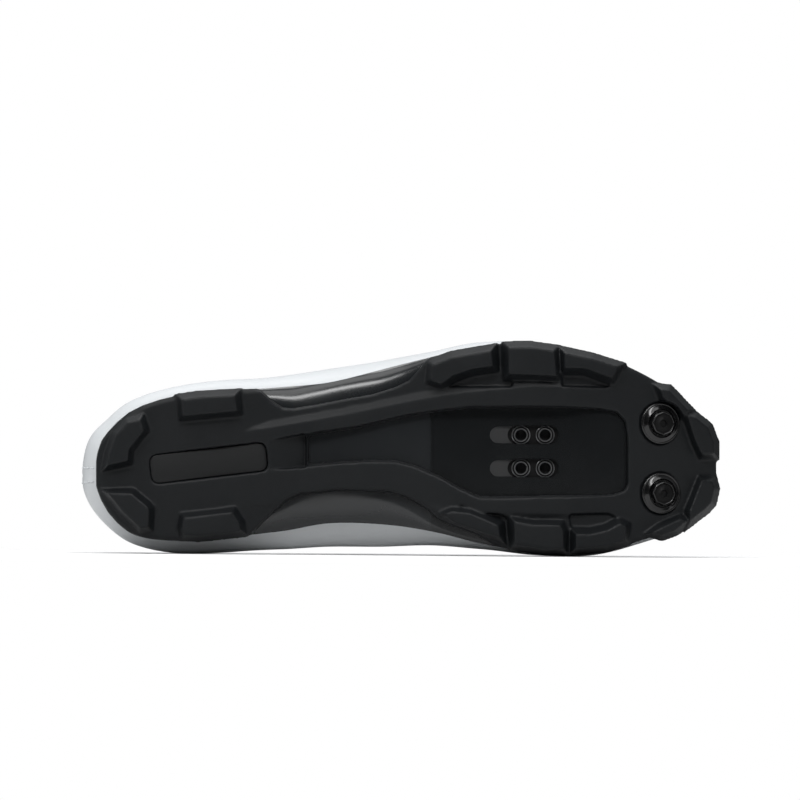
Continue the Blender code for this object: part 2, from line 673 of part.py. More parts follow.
def build_base_plate():
    def flank(x):
        return FLANK_WIDTH * profile("flank", x)

    def flank_rise(x):
        height = seat(x) - rubber_top(x) - GAP
        low, high = FLANK_FADE
        return max(0.0, height - FLANK_LIP) * min(1.0, max(0.0, profile("flank", x) - low) / (high - low))

    bottom = slab(0.0, lambda x: rubber_top(x) + GAP, seat, flank, flank_rise)
    plate = add_object("base_plate", bottom, "nylon")

    pocket = prism([plan(*p) for p in POCKET], below_ground, POCKET_HEIGHT)
    boolean(plate, add_object("pocket_cutter", pocket), "DIFFERENCE")

    slots = bmesh.new()
    centre = plan(*CLEAT_PLACE)
    for side in (-0.5, 0.5):
        middle = centre + Vector((0.0, side * SLOT_SPACING, 0.0))
        prism(capsule(middle, SLOT_LENGTH, SLOT_WIDTH), below_ground, POCKET_HEIGHT + WEB + GAP, into=slots)
    boolean(plate, add_object("slot_cutter", slots), "DIFFERENCE")

    cavity = prism(capsule(centre, NUT_LENGTH + SLOT_SPACING, NUT_WIDTH + 2 * GAP), POCKET_HEIGHT + WEB,
                   lambda x: seat(x) + INSOLE)
    boolean(plate, add_object("nut_cutter", cavity), "DIFFERENCE")
    return plate


def build_nut_plate():
    centre = plan(*CLEAT_PLACE)
    outline = capsule(centre, NUT_LENGTH + SLOT_SPACING - 2 * GAP, NUT_WIDTH)
    low = POCKET_HEIGHT + WEB + GAP
    nut = add_object("cleat_nut_plate", prism(outline, low, low + NUT_THICKNESS), "nut_steel")
    holes = bmesh.new()
    for along in (-0.5, 0.5):
        for side in (-0.5, 0.5):
            at = centre + Vector((along * BOLT_SPACING, side * SLOT_SPACING, 0.0))
            prism(disc(0.5 * BOLT_HOLE, ROUND, at), low - WEB, low + 2 * NUT_THICKNESS, into=holes)
    boolean(nut, add_object("bolt_cutter", holes), "DIFFERENCE")
    return nut


def build_studs(outsole, plate):
    studs = []
    for side, place in STUDS.items():
        axes = stud_matrix(*place)
        base = -STUD_SEAT + GAP
        foot = base - STUD_SHANK_LENGTH
        rim = STUD_RIM
        body = turned([(0.0, foot), (STUD_SHANK, foot), (STUD_SHANK, base),
                       (STUD_RADIUS - STUD_CHAMFER, base), (STUD_RADIUS, base + rim),
                       (STUD_RADIUS - STUD_DISH, base + 2 * rim),
                       (STUD_CAP + STUD_ROOT, base + rim), (STUD_CAP, STUD_RISE - rim),
                       (STUD_CAP - rim, STUD_RISE), (STUD_SOCKET, STUD_RISE),
                       (STUD_SOCKET, STUD_RISE - 2 * rim), (0.0, STUD_RISE - 2 * rim)], STUD_SIDES)
        body.transform(axes)
        stud = add_object("toe_stud_" + side, body, "stud_plastic")
        smooth(stud)
        room = STUD_RADIUS + 2 * GAP
        shank = STUD_SHANK + GAP
        hole = turned([(0.0, foot - GAP), (shank, foot - GAP), (shank, -STUD_SEAT), (room, -STUD_SEAT),
                       (room, 2 * STUD_RISE), (0.0, 2 * STUD_RISE)], STUD_SIDES)
        hole.transform(axes)
        cutter = add_object("stud_cutter_" + side, hole)
        boolean(outsole, cutter, "DIFFERENCE")
        boolean(plate, cutter, "DIFFERENCE")
        studs.append(stud)
    return studs


def build_insole():
    inset = TUCK + WALL + 2 * SOFT_GAP

    def corner(x):
        return EDGE_ROUND

    def flat(x):
        return 0.0

    bm = slab(inset, lambda x: seat(x) + SOFT_GAP, lambda x: seat(x) + SOFT_GAP + INSOLE, corner, flat)
    return add_object("insole", bm, "insole_foam")


def eyelet_places(k):
    """Places of the eyelets of row k on both sides, from the top of the throat down."""
    top, bottom = EYELET_ENDS
    row = top + (bottom - top) * k / (EYELETS - 1)
    return row, AROUND - row


def build_upper():
    climbs = [0.0, 0.5] + [1.0 + k / RISERS for k in range(RISERS + 1)]
    bm = bmesh.new()
    loops = []
    for climb in climbs:
        loops.append([bm.verts.new(upper_point(k / STEPS, climb)) for k in range(AROUND * STEPS)])
    for low, high in zip(loops, loops[1:]):
        for i in range(len(low)):
            j = (i + 1) % len(low)
            bm.faces.new((low[i], low[j], high[j], high[i]))
    mesh = bpy.data.meshes.new("upper")
    bm.to_mesh(mesh)
    bm.free()
    upper = bpy.data.objects.new("upper", mesh)
    bpy.context.collection.objects.link(upper)
    mesh.materials.append(material("upper_sheet"))
    mesh.shade_smooth()
    wall = upper.modifiers.new("wall", "SOLIDIFY")
    wall.thickness = WALL
    wall.offset = -1.0

    holes = bmesh.new()
    for k in range(EYELETS):
        for place in eyelet_places(k):
            climb = climb_below_lip(place, EYELET_INSET)
            at = upper_point(place, climb)
            normal = upper_normal(place, climb)
            turn = normal.to_track_quat("Z", "Y").to_matrix().to_4x4()
            drill = turned([(0.0, -2 * WALL), (0.5 * EYELET_HOLE, -2 * WALL), (0.5 * EYELET_HOLE, WALL),
                            (0.0, WALL)], SMALL_ROUND)
            drill.transform(Matrix.Translation(at) @ turn)
            scrap = bpy.data.meshes.new("drill")
            drill.to_mesh(scrap)
            drill.free()
            holes.from_mesh(scrap)
            bpy.data.meshes.remove(scrap)
    boolean(upper, add_object("eyelet_cutter", holes), "DIFFERENCE")
    return upper


def under_lip(place, distance):
    """Point below the upper's inner face, clear of it, at a distance down from the top edge."""
    climb = climb_below_lip(place, distance)
    return upper_point(place, climb) - upper_normal(place, climb) * (WALL + TONGUE_GAP)


def tongue_row(row, lap):
    """Points across the tongue from the outer to the inner side at a row of the throat."""
    laps = (lap, 0.5 * lap, 0.0)
    left = [under_lip(row, d) for d in laps]
    right = [under_lip(AROUND - row, d) for d in reversed(laps)]
    middle = 0.5 * (left[-1] + right[0])
    middle.z += TONGUE_CROWN
    return left + [middle] + right


def build_tongue():
    front, back = TONGUE_ENDS
    rows = []
    for k in range(TONGUE_SECTIONS):
        row = front + (back - front) * k / (TONGUE_SECTIONS - 1)
        rows.append(tongue_row(row, TONGUE_LAP * (1.0 - TONGUE_TAPER * k)))
    before, last = rows[-2], rows[-1]
    middle = last[3]
    along = (last[3] - before[3]).normalized()
    for reach, rise, wide in zip(*TONGUE_TIP.values()):
        shift = (along * reach + Vector((0.0, 0.0, rise))) * TONGUE_TOP
        rows.append([middle + (p - middle) * wide + shift for p in last])
    bm = bmesh.new()
    grid = [[bm.verts.new(p) for p in row] for row in rows]
    for low, high in zip(grid, grid[1:]):
        for i in range(len(low) - 1):
            bm.faces.new((low[i], low[i + 1], high[i + 1], high[i]))
    mesh = bpy.data.meshes.new("tongue")
    bm.to_mesh(mesh)
    bm.free()
    tongue = bpy.data.objects.new("tongue", mesh)
    bpy.context.collection.objects.link(tongue)
    mesh.materials.append(material("tongue_fabric"))
    mesh.shade_smooth()
    pad = tongue.modifiers.new("pad", "SOLIDIFY")
    pad.thickness = TONGUE
    pad.offset = -1.0
    return tongue


def build_lace_bars():
    bars = []
    for k in range(EYELETS):
        left, right = eyelet_places(k)
        lift = LACE_GAP + 0.5 * LACE_THICKNESS
        points = []
        for place, laps in ((left, (EYELET_INSET, 0.0)), (right, (0.0, EYELET_INSET))):
            for lap in laps:
                climb = climb_below_lip(place, lap)
                points.append(upper_point(place, climb) + upper_normal(place, climb) * lift)
        along_throat = upper_point(left + PLACE_STEP, TOP) - upper_point(left - PLACE_STEP, TOP)
        along_throat.normalize()
        rings = []
        for i, p in enumerate(points):
            ahead = points[min(i + 1, len(points) - 1)] - points[max(i - 1, 0)]
            side = (along_throat - ahead.normalized() * along_throat.dot(ahead.normalized())).normalized()
            up = ahead.cross(side).normalized()
            ring = []
            for q in disc(1.0, SMALL_ROUND):
                ring.append(p + side * q.x * 0.5 * LACE_WIDTH + up * q.y * 0.5 * LACE_THICKNESS)
            rings.append(ring)
        bars.append(add_object("lace_bar_%d" % (k + 1), loft(rings), "lace_cord"))
    return bars


def weighed(pieces):
    """Corner points of all pieces and the point where the shoe balances."""
    graph = bpy.context.evaluated_depsgraph_get()
    points = []
    total = 0.0
    moment = Vector()
    for piece in pieces:
        density = MATERIALS[piece.data.materials[0].name][3]
        solid = piece.evaluated_get(graph)
        mesh = solid.to_mesh()
        mesh.calc_loop_triangles()
        spots = [v.co.copy() for v in mesh.vertices]
        points += spots
        for tri in mesh.loop_triangles:
            a, b, c = (spots[i] for i in tri.vertices)
            mass = density * a.dot(b.cross(c)) / 6.0
            total += mass
            moment += mass * 0.25 * (a + b + c)
        solid.to_mesh_clear()
    return points, moment / total


def lay_on_inner_side(pieces):
    """Lay the shoe on a face of its hull that it balances on, inner side down, with the sole most upright."""
    points, balance = weighed(pieces)
    bm = bmesh.new()
    for p in points:
        bm.verts.new(p)
    bmesh.ops.convex_hull(bm, input=bm.verts)
    best = None
    for face in bm.faces:
        corners = [v.co for v in face.verts]
        normal = face.normal if face.normal.dot(corners[0] - balance) > 0 else -face.normal
        if normal.y < INNER_FACING:
            continue
        foot = balance + normal * normal.dot(corners[0] - balance)
        if intersect_point_tri(foot, *corners) and (best is None or abs(normal.z) < abs(best.z)):
            best = normal.copy()
    bm.free()
    down = best
    forward = Vector((1.0, 0.0, 0.0))
    forward = (forward - down * forward.dot(down)).normalized()
    turn = Matrix((forward, (-down).cross(forward), -down))
    turned_points = [turn @ p for p in points]
    low = Vector([min(p[i] for p in turned_points) for i in range(3)])
    high = Vector([max(p[i] for p in turned_points) for i in range(3)])
    origin = Vector((0.5 * (low.x + high.x), 0.5 * (low.y + high.y), low.z))
    rest = bpy.data.objects.new("shoe_axes", None)
    bpy.context.collection.objects.link(rest)
    rest.matrix_world = Matrix.Translation(-origin) @ turn.to_4x4()
    for obj in list(bpy.data.objects):
        if obj is not rest:
            obj.parent = rest


def build():
    clear_scene()
    outsole = build_outsole()
    plate = build_base_plate()
    pieces = [outsole, plate, build_heel_inlay(), build_nut_plate()]
    pieces += [build_insole(), build_upper(), build_tongue()]
    pieces += build_studs(outsole, plate)
    pieces += build_lace_bars()
    lay_on_inner_side(pieces)


build()
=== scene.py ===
import json
import math
from bisect import bisect_right

import bpy
from mathutils import Matrix, Vector


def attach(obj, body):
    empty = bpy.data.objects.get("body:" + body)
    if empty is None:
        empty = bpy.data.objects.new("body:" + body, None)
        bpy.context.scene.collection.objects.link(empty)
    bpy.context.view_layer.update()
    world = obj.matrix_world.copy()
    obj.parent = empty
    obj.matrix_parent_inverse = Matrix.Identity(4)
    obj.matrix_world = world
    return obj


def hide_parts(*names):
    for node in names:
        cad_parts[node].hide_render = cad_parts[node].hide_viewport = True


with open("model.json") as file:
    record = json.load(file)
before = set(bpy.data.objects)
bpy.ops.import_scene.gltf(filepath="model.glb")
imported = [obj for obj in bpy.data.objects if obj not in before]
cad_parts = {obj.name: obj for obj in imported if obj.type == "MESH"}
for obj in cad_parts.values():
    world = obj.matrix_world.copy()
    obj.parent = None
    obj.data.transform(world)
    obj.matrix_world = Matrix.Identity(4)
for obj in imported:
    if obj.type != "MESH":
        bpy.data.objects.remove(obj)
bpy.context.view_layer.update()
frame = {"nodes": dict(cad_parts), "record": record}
nodes = frame["nodes"]
scene = bpy.context.scene

# The shoe's own axes: X from heel to toe, Y to the inner side, Z from the tread up into the foot.
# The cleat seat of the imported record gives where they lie, on a shoe that rests on its inner side.
seatMount = next(m for m in frame["record"]["mounts"] if m["name"] == "cleat_seat")
seatPlace = Vector((0.19116, -0.0070518, 0.0110))  # the same point in the shoe's own axes
ownZ = -Vector(seatMount["axis"]).normalized()
ownX = Vector((0, 1, 0)).cross(ownZ).normalized()  # level across the row's Y, towards the toe
if ownX.x < 0:
    ownX = -ownX
ownY = ownZ.cross(ownX)
turn = Matrix((ownX, ownY, ownZ)).transposed()
toRow = Matrix.Translation(Vector(seatMount["pos_m"]) - turn @ seatPlace) @ turn.to_4x4()

last = {
    "length": 0.270, "ballWidth": 0.0922, "heelWidth": 0.0625, "instepHeight": 0.089, "collarHeight": 0.078,
    "collarWidth": 0.057, "swell": 0.010, "belt": 0.020, "tuck": 0.0014, "wall": 0.0021,
}
sole = {
    "block": 0.0055, "arch": 0.008, "spring": 0.022, "bevel": 0.004, "heelStack": 0.0165, "ballStack": 0.011,
    "rubber": 0.0026, "heelRubber": 0.0075, "flank": 0.013, "lip": 0.0008, "gap": 0.0003,
}

# Sections of the last from heel to toe: along, outer and inner edge of the sole, bulge outer and inner,
# height of the belt, turn of the wall, then the top edge: along, outer, inner, shares of collar and instep
lastRows = [
    (0.025, 0.047, 0.047, 0.67, 0.67, 0.75, 50, 0.024, 0.020, 0.020, 1.000, 0.000),
    (0.031, -0.148, 0.182, 0.63, 0.63, 0.74, 50, 0.034, -0.170, 0.190, 0.985, 0.000),
    (0.050, -0.270, 0.324, 0.50, 0.48, 0.64, 52, 0.066, -0.310, 0.320, 0.955, 0.000),
    (0.086, -0.398, 0.449, 0.46, 0.40, 0.54, 54, 0.118, -0.410, 0.420, 0.895, 0.000),
    (0.148, -0.486, 0.489, 0.44, 0.52, 0.48, 56, 0.185, -0.475, 0.490, 0.830, 0.000),
    (0.226, -0.528, 0.472, 0.47, 0.60, 0.54, 58, 0.252, -0.500, 0.510, 0.800, 0.005),
    (0.312, -0.531, 0.411, 0.50, 0.76, 0.72, 62, 0.318, -0.475, 0.490, 0.560, 0.265),
    (0.390, -0.506, 0.321, 0.61, 0.99, 0.92, 68, 0.372, -0.405, 0.430, 0.210, 0.655),
    (0.476, -0.513, 0.288, 0.40, 0.94, 0.95, 74, 0.412, -0.305, 0.340, 0.000, 0.990),
    (0.554, -0.527, 0.299, 0.27, 0.60, 0.75, 80, 0.455, -0.230, 0.265, 0.000, 0.965),
    (0.632, -0.562, 0.346, 0.19, 0.25, 0.55, 84, 0.508, -0.195, 0.230, 0.000, 0.895),
    (0.718, -0.572, 0.390, 0.08, 0.08, 0.42, 86, 0.556, -0.170, 0.205, 0.000, 0.822),
    (0.804, -0.524, 0.388, 0.04, 0.08, 0.38, 84, 0.590, -0.130, 0.170, 0.000, 0.768),
    (0.882, -0.430, 0.325, 0.02, 0.12, 0.36, 80, 0.609, -0.090, 0.132, 0.000, 0.738),
    (0.945, -0.313, 0.261, 0.00, 0.10, 0.36, 77, 0.619, -0.050, 0.093, 0.000, 0.726),
    (0.980, -0.210, 0.197, -0.05, -0.05, 0.36, 76, 0.624, -0.022, 0.065, 0.000, 0.718),
    (0.994, -0.128, 0.119, -0.10, -0.10, 0.36, 76, 0.627, 0.000, 0.042, 0.000, 0.715),
    (0.998, 0.000, 0.000, -0.12, -0.12, 0.36, 76, 0.628, 0.020, 0.020, 0.000, 0.714),
]
toePlace = len(lastRows) - 1
fullRound = 2 * toePlace
columnPairs = {"along": (0, 0), "edge": (1, 2), "bulge": (3, 4), "belt": (5, 5), "arc": (6, 6), "lip": (7, 7),
               "lipAcross": (8, 9), "collar": (10, 10), "instep": (11, 11)}
roundColumns = {
    name: [row[a] for row in lastRows] + [row[b] for row in lastRows[-2:0:-1]]
    for name, (a, b) in columnPairs.items()
}

# Side view of the sole: share of the length, then arch, toe, heel bevel, heel stack, ball stack and flank
soleRows = [
    (0.00, 0.00, 0.00, 1.00, 1.00, 0.00, 0.12), (0.05, 0.00, 0.00, 0.45, 1.00, 0.00, 0.12),
    (0.10, 0.00, 0.00, 0.10, 1.00, 0.00, 0.12), (0.17, 0.00, 0.00, 0.00, 1.00, 0.00, 0.12),
    (0.24, 0.06, 0.00, 0.00, 0.90, 0.11, 0.15), (0.30, 0.50, 0.00, 0.00, 0.62, 0.24, 0.60),
    (0.36, 0.91, 0.00, 0.00, 0.30, 0.38, 1.00), (0.42, 1.00, 0.00, 0.00, 0.08, 0.57, 1.00),
    (0.50, 0.62, 0.00, 0.00, 0.00, 0.82, 0.70), (0.56, 0.25, 0.00, 0.00, 0.00, 1.00, 0.20),
    (0.62, 0.03, 0.00, 0.00, 0.00, 1.02, 0.12), (0.68, 0.00, 0.00, 0.00, 0.00, 1.00, 0.12),
    (0.76, 0.00, 0.03, 0.00, 0.00, 0.93, 0.12), (0.82, 0.00, 0.14, 0.00, 0.00, 0.83, 0.12),
    (0.88, 0.00, 0.34, 0.00, 0.00, 0.73, 0.12), (0.94, 0.00, 0.61, 0.00, 0.00, 0.61, 0.12),
    (1.00, 0.00, 1.00, 0.00, 0.00, 0.50, 0.12),
]
soleNames = ["share", "arch", "toe", "bevel", "heel", "ball", "flank"]
soleColumns = {name: [row[i] for row in soleRows] for i, name in enumerate(soleNames)}


def soleShare(name, x):
    xs = soleColumns["share"]
    ys = soleColumns[name]
    at = min(max(x / last["length"], 0.0), 1.0)
    i = min(bisect_right(xs, at) - 1, len(xs) - 2)

    def slope(k):
        low, high = max(k - 1, 0), min(k + 1, len(xs) - 1)
        return (ys[high] - ys[low]) / (xs[high] - xs[low])

    span = xs[i + 1] - xs[i]
    t = (at - xs[i]) / span
    start = ys[i] * (1 + 2 * t) * (1 - t) ** 2 + slope(i) * span * t * (1 - t) ** 2
    return start + ys[i + 1] * t * t * (3 - 2 * t) - slope(i + 1) * span * t * t * (1 - t)


def treadFloor(x):
    rise = sole["arch"] * soleShare("arch", x) + sole["spring"] * soleShare("toe", x)
    return sole["block"] + rise + sole["bevel"] * soleShare("bevel", x)


def flatFloor(x):
    return treadFloor(x) - sole["bevel"] * soleShare("bevel", x)


def seatHeight(x):
    return flatFloor(x) + sole["heelStack"] * soleShare("heel", x) + sole["ballStack"] * soleShare("ball", x)


def rubberTop(x):
    return flatFloor(x) + sole["rubber"] + (sole["heelRubber"] - sole["rubber"]) * soleShare("heel", x)


def breadth(share):
    t = min(1.0, max(0.0, (share - 0.25) / 0.37))
    return last["heelWidth"] + (last["ballWidth"] - last["heelWidth"]) * t * t * (3 - 2 * t)


def plan(share, across, height=0.0):
    return Vector((share * last["length"], across * breadth(share), height))


def smoothBetween(four, t):
    # smooth value between the second and third of four, at a share t
    a, b, c, d = four
    bend = (2 * a - 5 * b + 4 * c - d) * t * t + (3 * b - a - 3 * c + d) * t ** 3
    return 0.5 * (2 * b + (c - a) * t + bend)


def smoothLine(points, t):
    # point on a smooth line, where each whole t is one of its points
    t = min(max(t, 0.0), len(points) - 1)
    i = min(int(t), len(points) - 2)
    return smoothBetween([points[min(max(i + k, 0), len(points) - 1)] for k in (-1, 0, 1, 2)], t - i)


def around(name, place):
    # Smooth value at a place round the last: 0 at the heel, 17 at the toe, outer side first.
    column = roundColumns[name]
    base = math.floor(place)
    return smoothBetween([column[(base + k) % fullRound] for k in (-1, 0, 1, 2)], place - base)


def edgePoint(place):
    return plan(around("along", place), around("edge", place))


def edgeOut(place):
    step = edgePoint(place + 0.05) - edgePoint(place - 0.05)
    return Vector((step.y, -step.x, 0.0)).normalized()


columnCache = {}


def wallColumn(place):
    # Foot, belt and top edge of the upper's outer face at a place, with the angle that the wall turns.
    key = round(place, 5)
    if key not in columnCache:
        edge, out = edgePoint(place), edgeOut(place)
        foot = edge - out * last["tuck"]
        foot.z = seatHeight(edge.x) + sole["gap"]
        belt = edge + out * last["swell"] * around("bulge", place)
        belt.z = foot.z + last["belt"] * around("belt", place)
        top = Vector((last["length"] * around("lip", place), last["collarWidth"] * around("lipAcross", place),
                      last["collarHeight"] * around("collar", place)
                      + last["instepHeight"] * around("instep", place)))
        columnCache[key] = (foot, belt, top, math.radians(around("arc", place)))
    return columnCache[key]


def wallPoint(place, climb):
    # Outer face of the upper. climb is 0 at the sole, 1 at the widest belt and 2 at the top edge.
    foot, belt, top, end = wallColumn(place)
    if climb <= 1.0:
        start = math.radians(60.0)
        angle = (1.0 - climb) * start
        out = (math.cos(angle) - math.cos(start)) / (1.0 - math.cos(start))
        up = 1.0 - math.sin(angle) / math.sin(start)
        low, high = foot, belt
    else:
        angle = (climb - 1.0) * end
        out = (1.0 - math.cos(angle)) / (1.0 - math.cos(end))
        up = math.sin(angle) / math.sin(end)
        low, high = belt, top
    reach = high - low
    return Vector((low.x + reach.x * out, low.y + reach.y * out, low.z + reach.z * up))


def wallNormal(place, climb):
    low = min(climb, 1.98)
    along = wallPoint(place + 0.05, climb) - wallPoint(place - 0.05, climb)
    rise = wallPoint(place, low + 0.02) - wallPoint(place, max(low - 0.02, 0.0))
    return along.cross(rise).normalized()


walkCache = {}


def climbBelow(place, distance):
    # Climb of the point that lies so far down the wall from its top edge.
    key = round(place, 4)
    if key not in walkCache:
        walked, points = [0.0], [wallPoint(place, 2.0)]
        while walked[-1] < 0.018:
            points.append(wallPoint(place, 2.0 - 0.02 * len(points)))
            walked.append(walked[-1] + (points[-1] - points[-2]).length)
        walkCache[key] = walked
    walked = walkCache[key]
    i = min(max(bisect_right(walked, distance) - 1, 0), len(walked) - 2)
    return 2.0 - 0.02 * (i + (distance - walked[i]) / (walked[i + 1] - walked[i]))


sideCache = {}


def edgeAcross(x, side):
    # Edge of the sole on one side at a distance from the heel.
    if side not in sideCache:
        start = 0 if side == "outer" else fullRound
        count = 24 * toePlace
        points = [edgePoint(start + (toePlace - start) * k / count) for k in range(count + 1)]
        sideCache[side] = ([p.x for p in points], [p.y for p in points])
    xs, ys = sideCache[side]
    i = min(max(bisect_right(xs, x) - 1, 0), len(xs) - 2)
    t = min(max((x - xs[i]) / max(xs[i + 1] - xs[i], 1e-9), 0.0), 1.0)
    return ys[i] + (ys[i + 1] - ys[i]) * t


def fade(value, low, high):
    t = min(1.0, max(0.0, (value - low) / (high - low)))
    return t * t * (3 - 2 * t)


def makeActive(piece):
    bpy.ops.object.select_all(action="DESELECT")
    piece.select_set(True)
    bpy.context.view_layer.objects.active = piece


def editWhole(piece, *steps):
    # each step in edit mode, with the whole piece selected
    makeActive(piece)
    bpy.ops.object.mode_set(mode="EDIT")
    for step in steps:
        bpy.ops.mesh.select_all(action="SELECT")
        step()
    bpy.ops.object.mode_set(mode="OBJECT")


def mergeClose():
    bpy.ops.mesh.remove_doubles(threshold=0.00001)


def turnOutward():
    bpy.ops.mesh.normals_make_consistent(inside=False)


def faceTowards(piece, face, direction):
    if face.normal.dot(direction) < 0:
        editWhole(piece, bpy.ops.mesh.flip_normals)


def middleFace(piece):
    return piece.data.polygons[len(piece.data.polygons) // 2]


def gridPiece(name, columns, rows, pointAt, closed=False):
    # A grid primitive shaped over a form. pointAt takes u and v from 0 to 1, and gives a point in own axes.
    bpy.ops.object.select_all(action="DESELECT")
    bpy.ops.mesh.primitive_grid_add(x_subdivisions=columns, y_subdivisions=rows, size=2)
    piece = bpy.context.object
    piece.name = name
    piece.data.name = name
    for vertex in piece.data.vertices:
        vertex.co = pointAt((vertex.co.x + 1) / 2, (vertex.co.y + 1) / 2)
    if closed:
        editWhole(piece, mergeClose)
    return piece


def closeHoles(piece):
    editWhole(piece, lambda: bpy.ops.mesh.fill_holes(sides=0), turnOutward)


def addModifier(piece, kind, **values):
    modifier = piece.modifiers.new(kind.lower(), kind)
    for key, value in values.items():
        setattr(modifier, key, value)
    return modifier


def applyModifiers(piece):
    makeActive(piece)
    for modifier in list(piece.modifiers):
        bpy.ops.object.modifier_apply(modifier=modifier.name)


def cutWith(piece, cutter, operation="DIFFERENCE"):
    addModifier(piece, "BOOLEAN", object=cutter, operation=operation, solver="EXACT")
    applyModifiers(piece)
    bpy.data.objects.remove(cutter, do_unlink=True)


def joinPieces(name, parts):
    makeActive(parts[0])
    for part in parts:
        part.select_set(True)
    bpy.ops.object.join()
    parts[0].name = name
    parts[0].data.name = name
    return parts[0]


def finishPiece(piece, stuff, replaced=(), flat=None, moved=True):
    # Last step of a piece: into the row's axes, smooth, with its material, on its body.
    if moved:
        piece.data.transform(toRow)
    makeActive(piece)
    if flat is None:
        bpy.ops.object.shade_smooth()
    else:
        bpy.ops.object.shade_smooth_by_angle(angle=math.radians(flat))
    for entry in [stuff] if not isinstance(stuff, list) else stuff:
        piece.data.materials.append(entry)
    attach(piece, "root")
    if replaced:
        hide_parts(*replaced)
    return piece


def copyOfNode(node, name):
    piece = bpy.data.objects.new(name, nodes[node].data.copy())
    piece.data.materials.clear()
    scene.collection.objects.link(piece)
    editWhole(piece, mergeClose)
    return piece


def slabFromOutline(name, outline, bottomAt, topAt, corner=0.0, cornerSteps=4):
    # Upright block on an outline: a filled circle moved onto the outline, corners rounded, then extruded.
    bpy.ops.object.select_all(action="DESELECT")
    bpy.ops.mesh.primitive_circle_add(vertices=len(outline), radius=1, fill_type="NGON")
    piece = bpy.context.object
    piece.name = name
    for vertex, point in zip(piece.data.vertices, outline):
        vertex.co = (point.x, point.y, 0.0)
    steps = [lambda: bpy.ops.mesh.extrude_region_move(TRANSFORM_OT_translate={"value": (0, 0, 1.0)}),
             turnOutward]
    if corner:
        steps.insert(0, lambda: bpy.ops.mesh.bevel(affect="VERTICES", offset=corner, segments=cornerSteps))
    editWhole(piece, *steps)
    for vertex in piece.data.vertices:
        height = topAt if vertex.co.z > 0.5 else bottomAt
        vertex.co.z = height(vertex.co.x)
    return piece


def capsuleOutline(centre, length, width, steps=12):
    radius = width / 2
    reach = length / 2 - radius
    points = []
    for side, first in ((1, -90), (-1, 90)):
        for k in range(steps + 1):
            angle = math.radians(first + 180 * k / steps)
            points.append(Vector((centre.x + side * reach + radius * math.cos(angle),
                                  centre.y + radius * math.sin(angle), 0)))
    return points


def turnedPiece(name, profile, steps):
    # A profile of radius and height, drawn as a line of vertices and spun round Z.
    bpy.ops.object.select_all(action="DESELECT")
    bpy.ops.mesh.primitive_grid_add(x_subdivisions=1, y_subdivisions=len(profile) - 1, size=2)
    piece = bpy.context.object
    piece.name = name
    bpy.ops.object.mode_set(mode="EDIT")
    bpy.ops.mesh.select_all(action="DESELECT")
    bpy.ops.object.mode_set(mode="OBJECT")
    for vertex in piece.data.vertices:
        vertex.select = vertex.co.x > 0
    bpy.ops.object.mode_set(mode="EDIT")
    bpy.ops.mesh.delete(type="VERT")
    bpy.ops.object.mode_set(mode="OBJECT")
    for vertex, (radius, height) in zip(sorted(piece.data.vertices, key=lambda v: v.co.y), profile):
        vertex.co = (radius, 0.0, height)
    editWhole(piece, lambda: bpy.ops.mesh.spin(steps=steps, angle=math.tau, center=(0, 0, 0), axis=(0, 0, 1)),
              mergeClose, turnOutward)
    return piece


def placedCopy(piece, name, matrix):
    copied = bpy.data.objects.new(name, piece.data.copy())
    scene.collection.objects.link(copied)
    copied.data.transform(matrix)
    return copied


def cordPiece(name, points, widthAt, thickAt, upAt, sides=12, steps=6):
    # Flat woven cord along a smooth line through the points, its ends drawn in to close.
    count = (len(points) - 1) * steps

    frames = []
    for k in range(count + 1):
        t = k / steps
        ahead = (smoothLine(points, t + 0.05) - smoothLine(points, t - 0.05)).normalized()
        across = ahead.cross(upAt(t)).normalized()
        frames.append((smoothLine(points, t), across, across.cross(ahead)))

    def pointAt(u, v):
        k = round(u * count)
        centre, across, up = frames[k]
        angle = math.tau * v
        close = 0.02 if k in (0, count) else 1.0
        swing = math.copysign(abs(math.cos(angle)) ** 0.7, math.cos(angle))
        lift = math.copysign(abs(math.sin(angle)) ** 0.7, math.sin(angle))
        t = k / steps
        return centre + across * swing * widthAt(t) / 2 * close + up * lift * thickAt(t) / 2 * close

    return gridPiece(name, count, sides, pointAt, closed=True)


print("shoe form ready")


# Materials

def addNode(tree, kind, inputs=None, **values):
    node = tree.nodes.new(kind)
    for key, value in values.items():
        setattr(node, key, value)
    for key, value in (inputs or {}).items():
        if isinstance(value, bpy.types.NodeSocket):
            tree.links.new(value, node.inputs[key])
        else:
            node.inputs[key].default_value = value
    return node


def maths(tree, operation, *values):
    return addNode(tree, "ShaderNodeMath", dict(enumerate(values)), operation=operation).outputs[0]


def mixed(tree, mask, low, high):
    return addNode(tree, "ShaderNodeMix", {0: mask, 6: low, 7: high}, data_type="RGBA").outputs[2]


def ranged(tree, value, fromLow, fromHigh, toLow=0.0, toHigh=1.0):
    return addNode(tree, "ShaderNodeMapRange", {"Value": value, "From Min": fromLow, "From Max": fromHigh,
                                                "To Min": toLow, "To Max": toHigh}).outputs[0]


def newGroup(name, inputs, outputs):
    group = bpy.data.node_groups.new(name, "ShaderNodeTree")
    for label, kind, value in inputs:
        socket = group.interface.new_socket(name=label, in_out="INPUT", socket_type=kind)
        if value is not None:
            socket.default_value = value
    for label, kind in outputs:
        group.interface.new_socket(name=label, in_out="OUTPUT", socket_type=kind)
    return group, group.nodes.new("NodeGroupInput"), group.nodes.new("NodeGroupOutput")


floatKind = "NodeSocketFloat"
vectorKind = "NodeSocketVector"


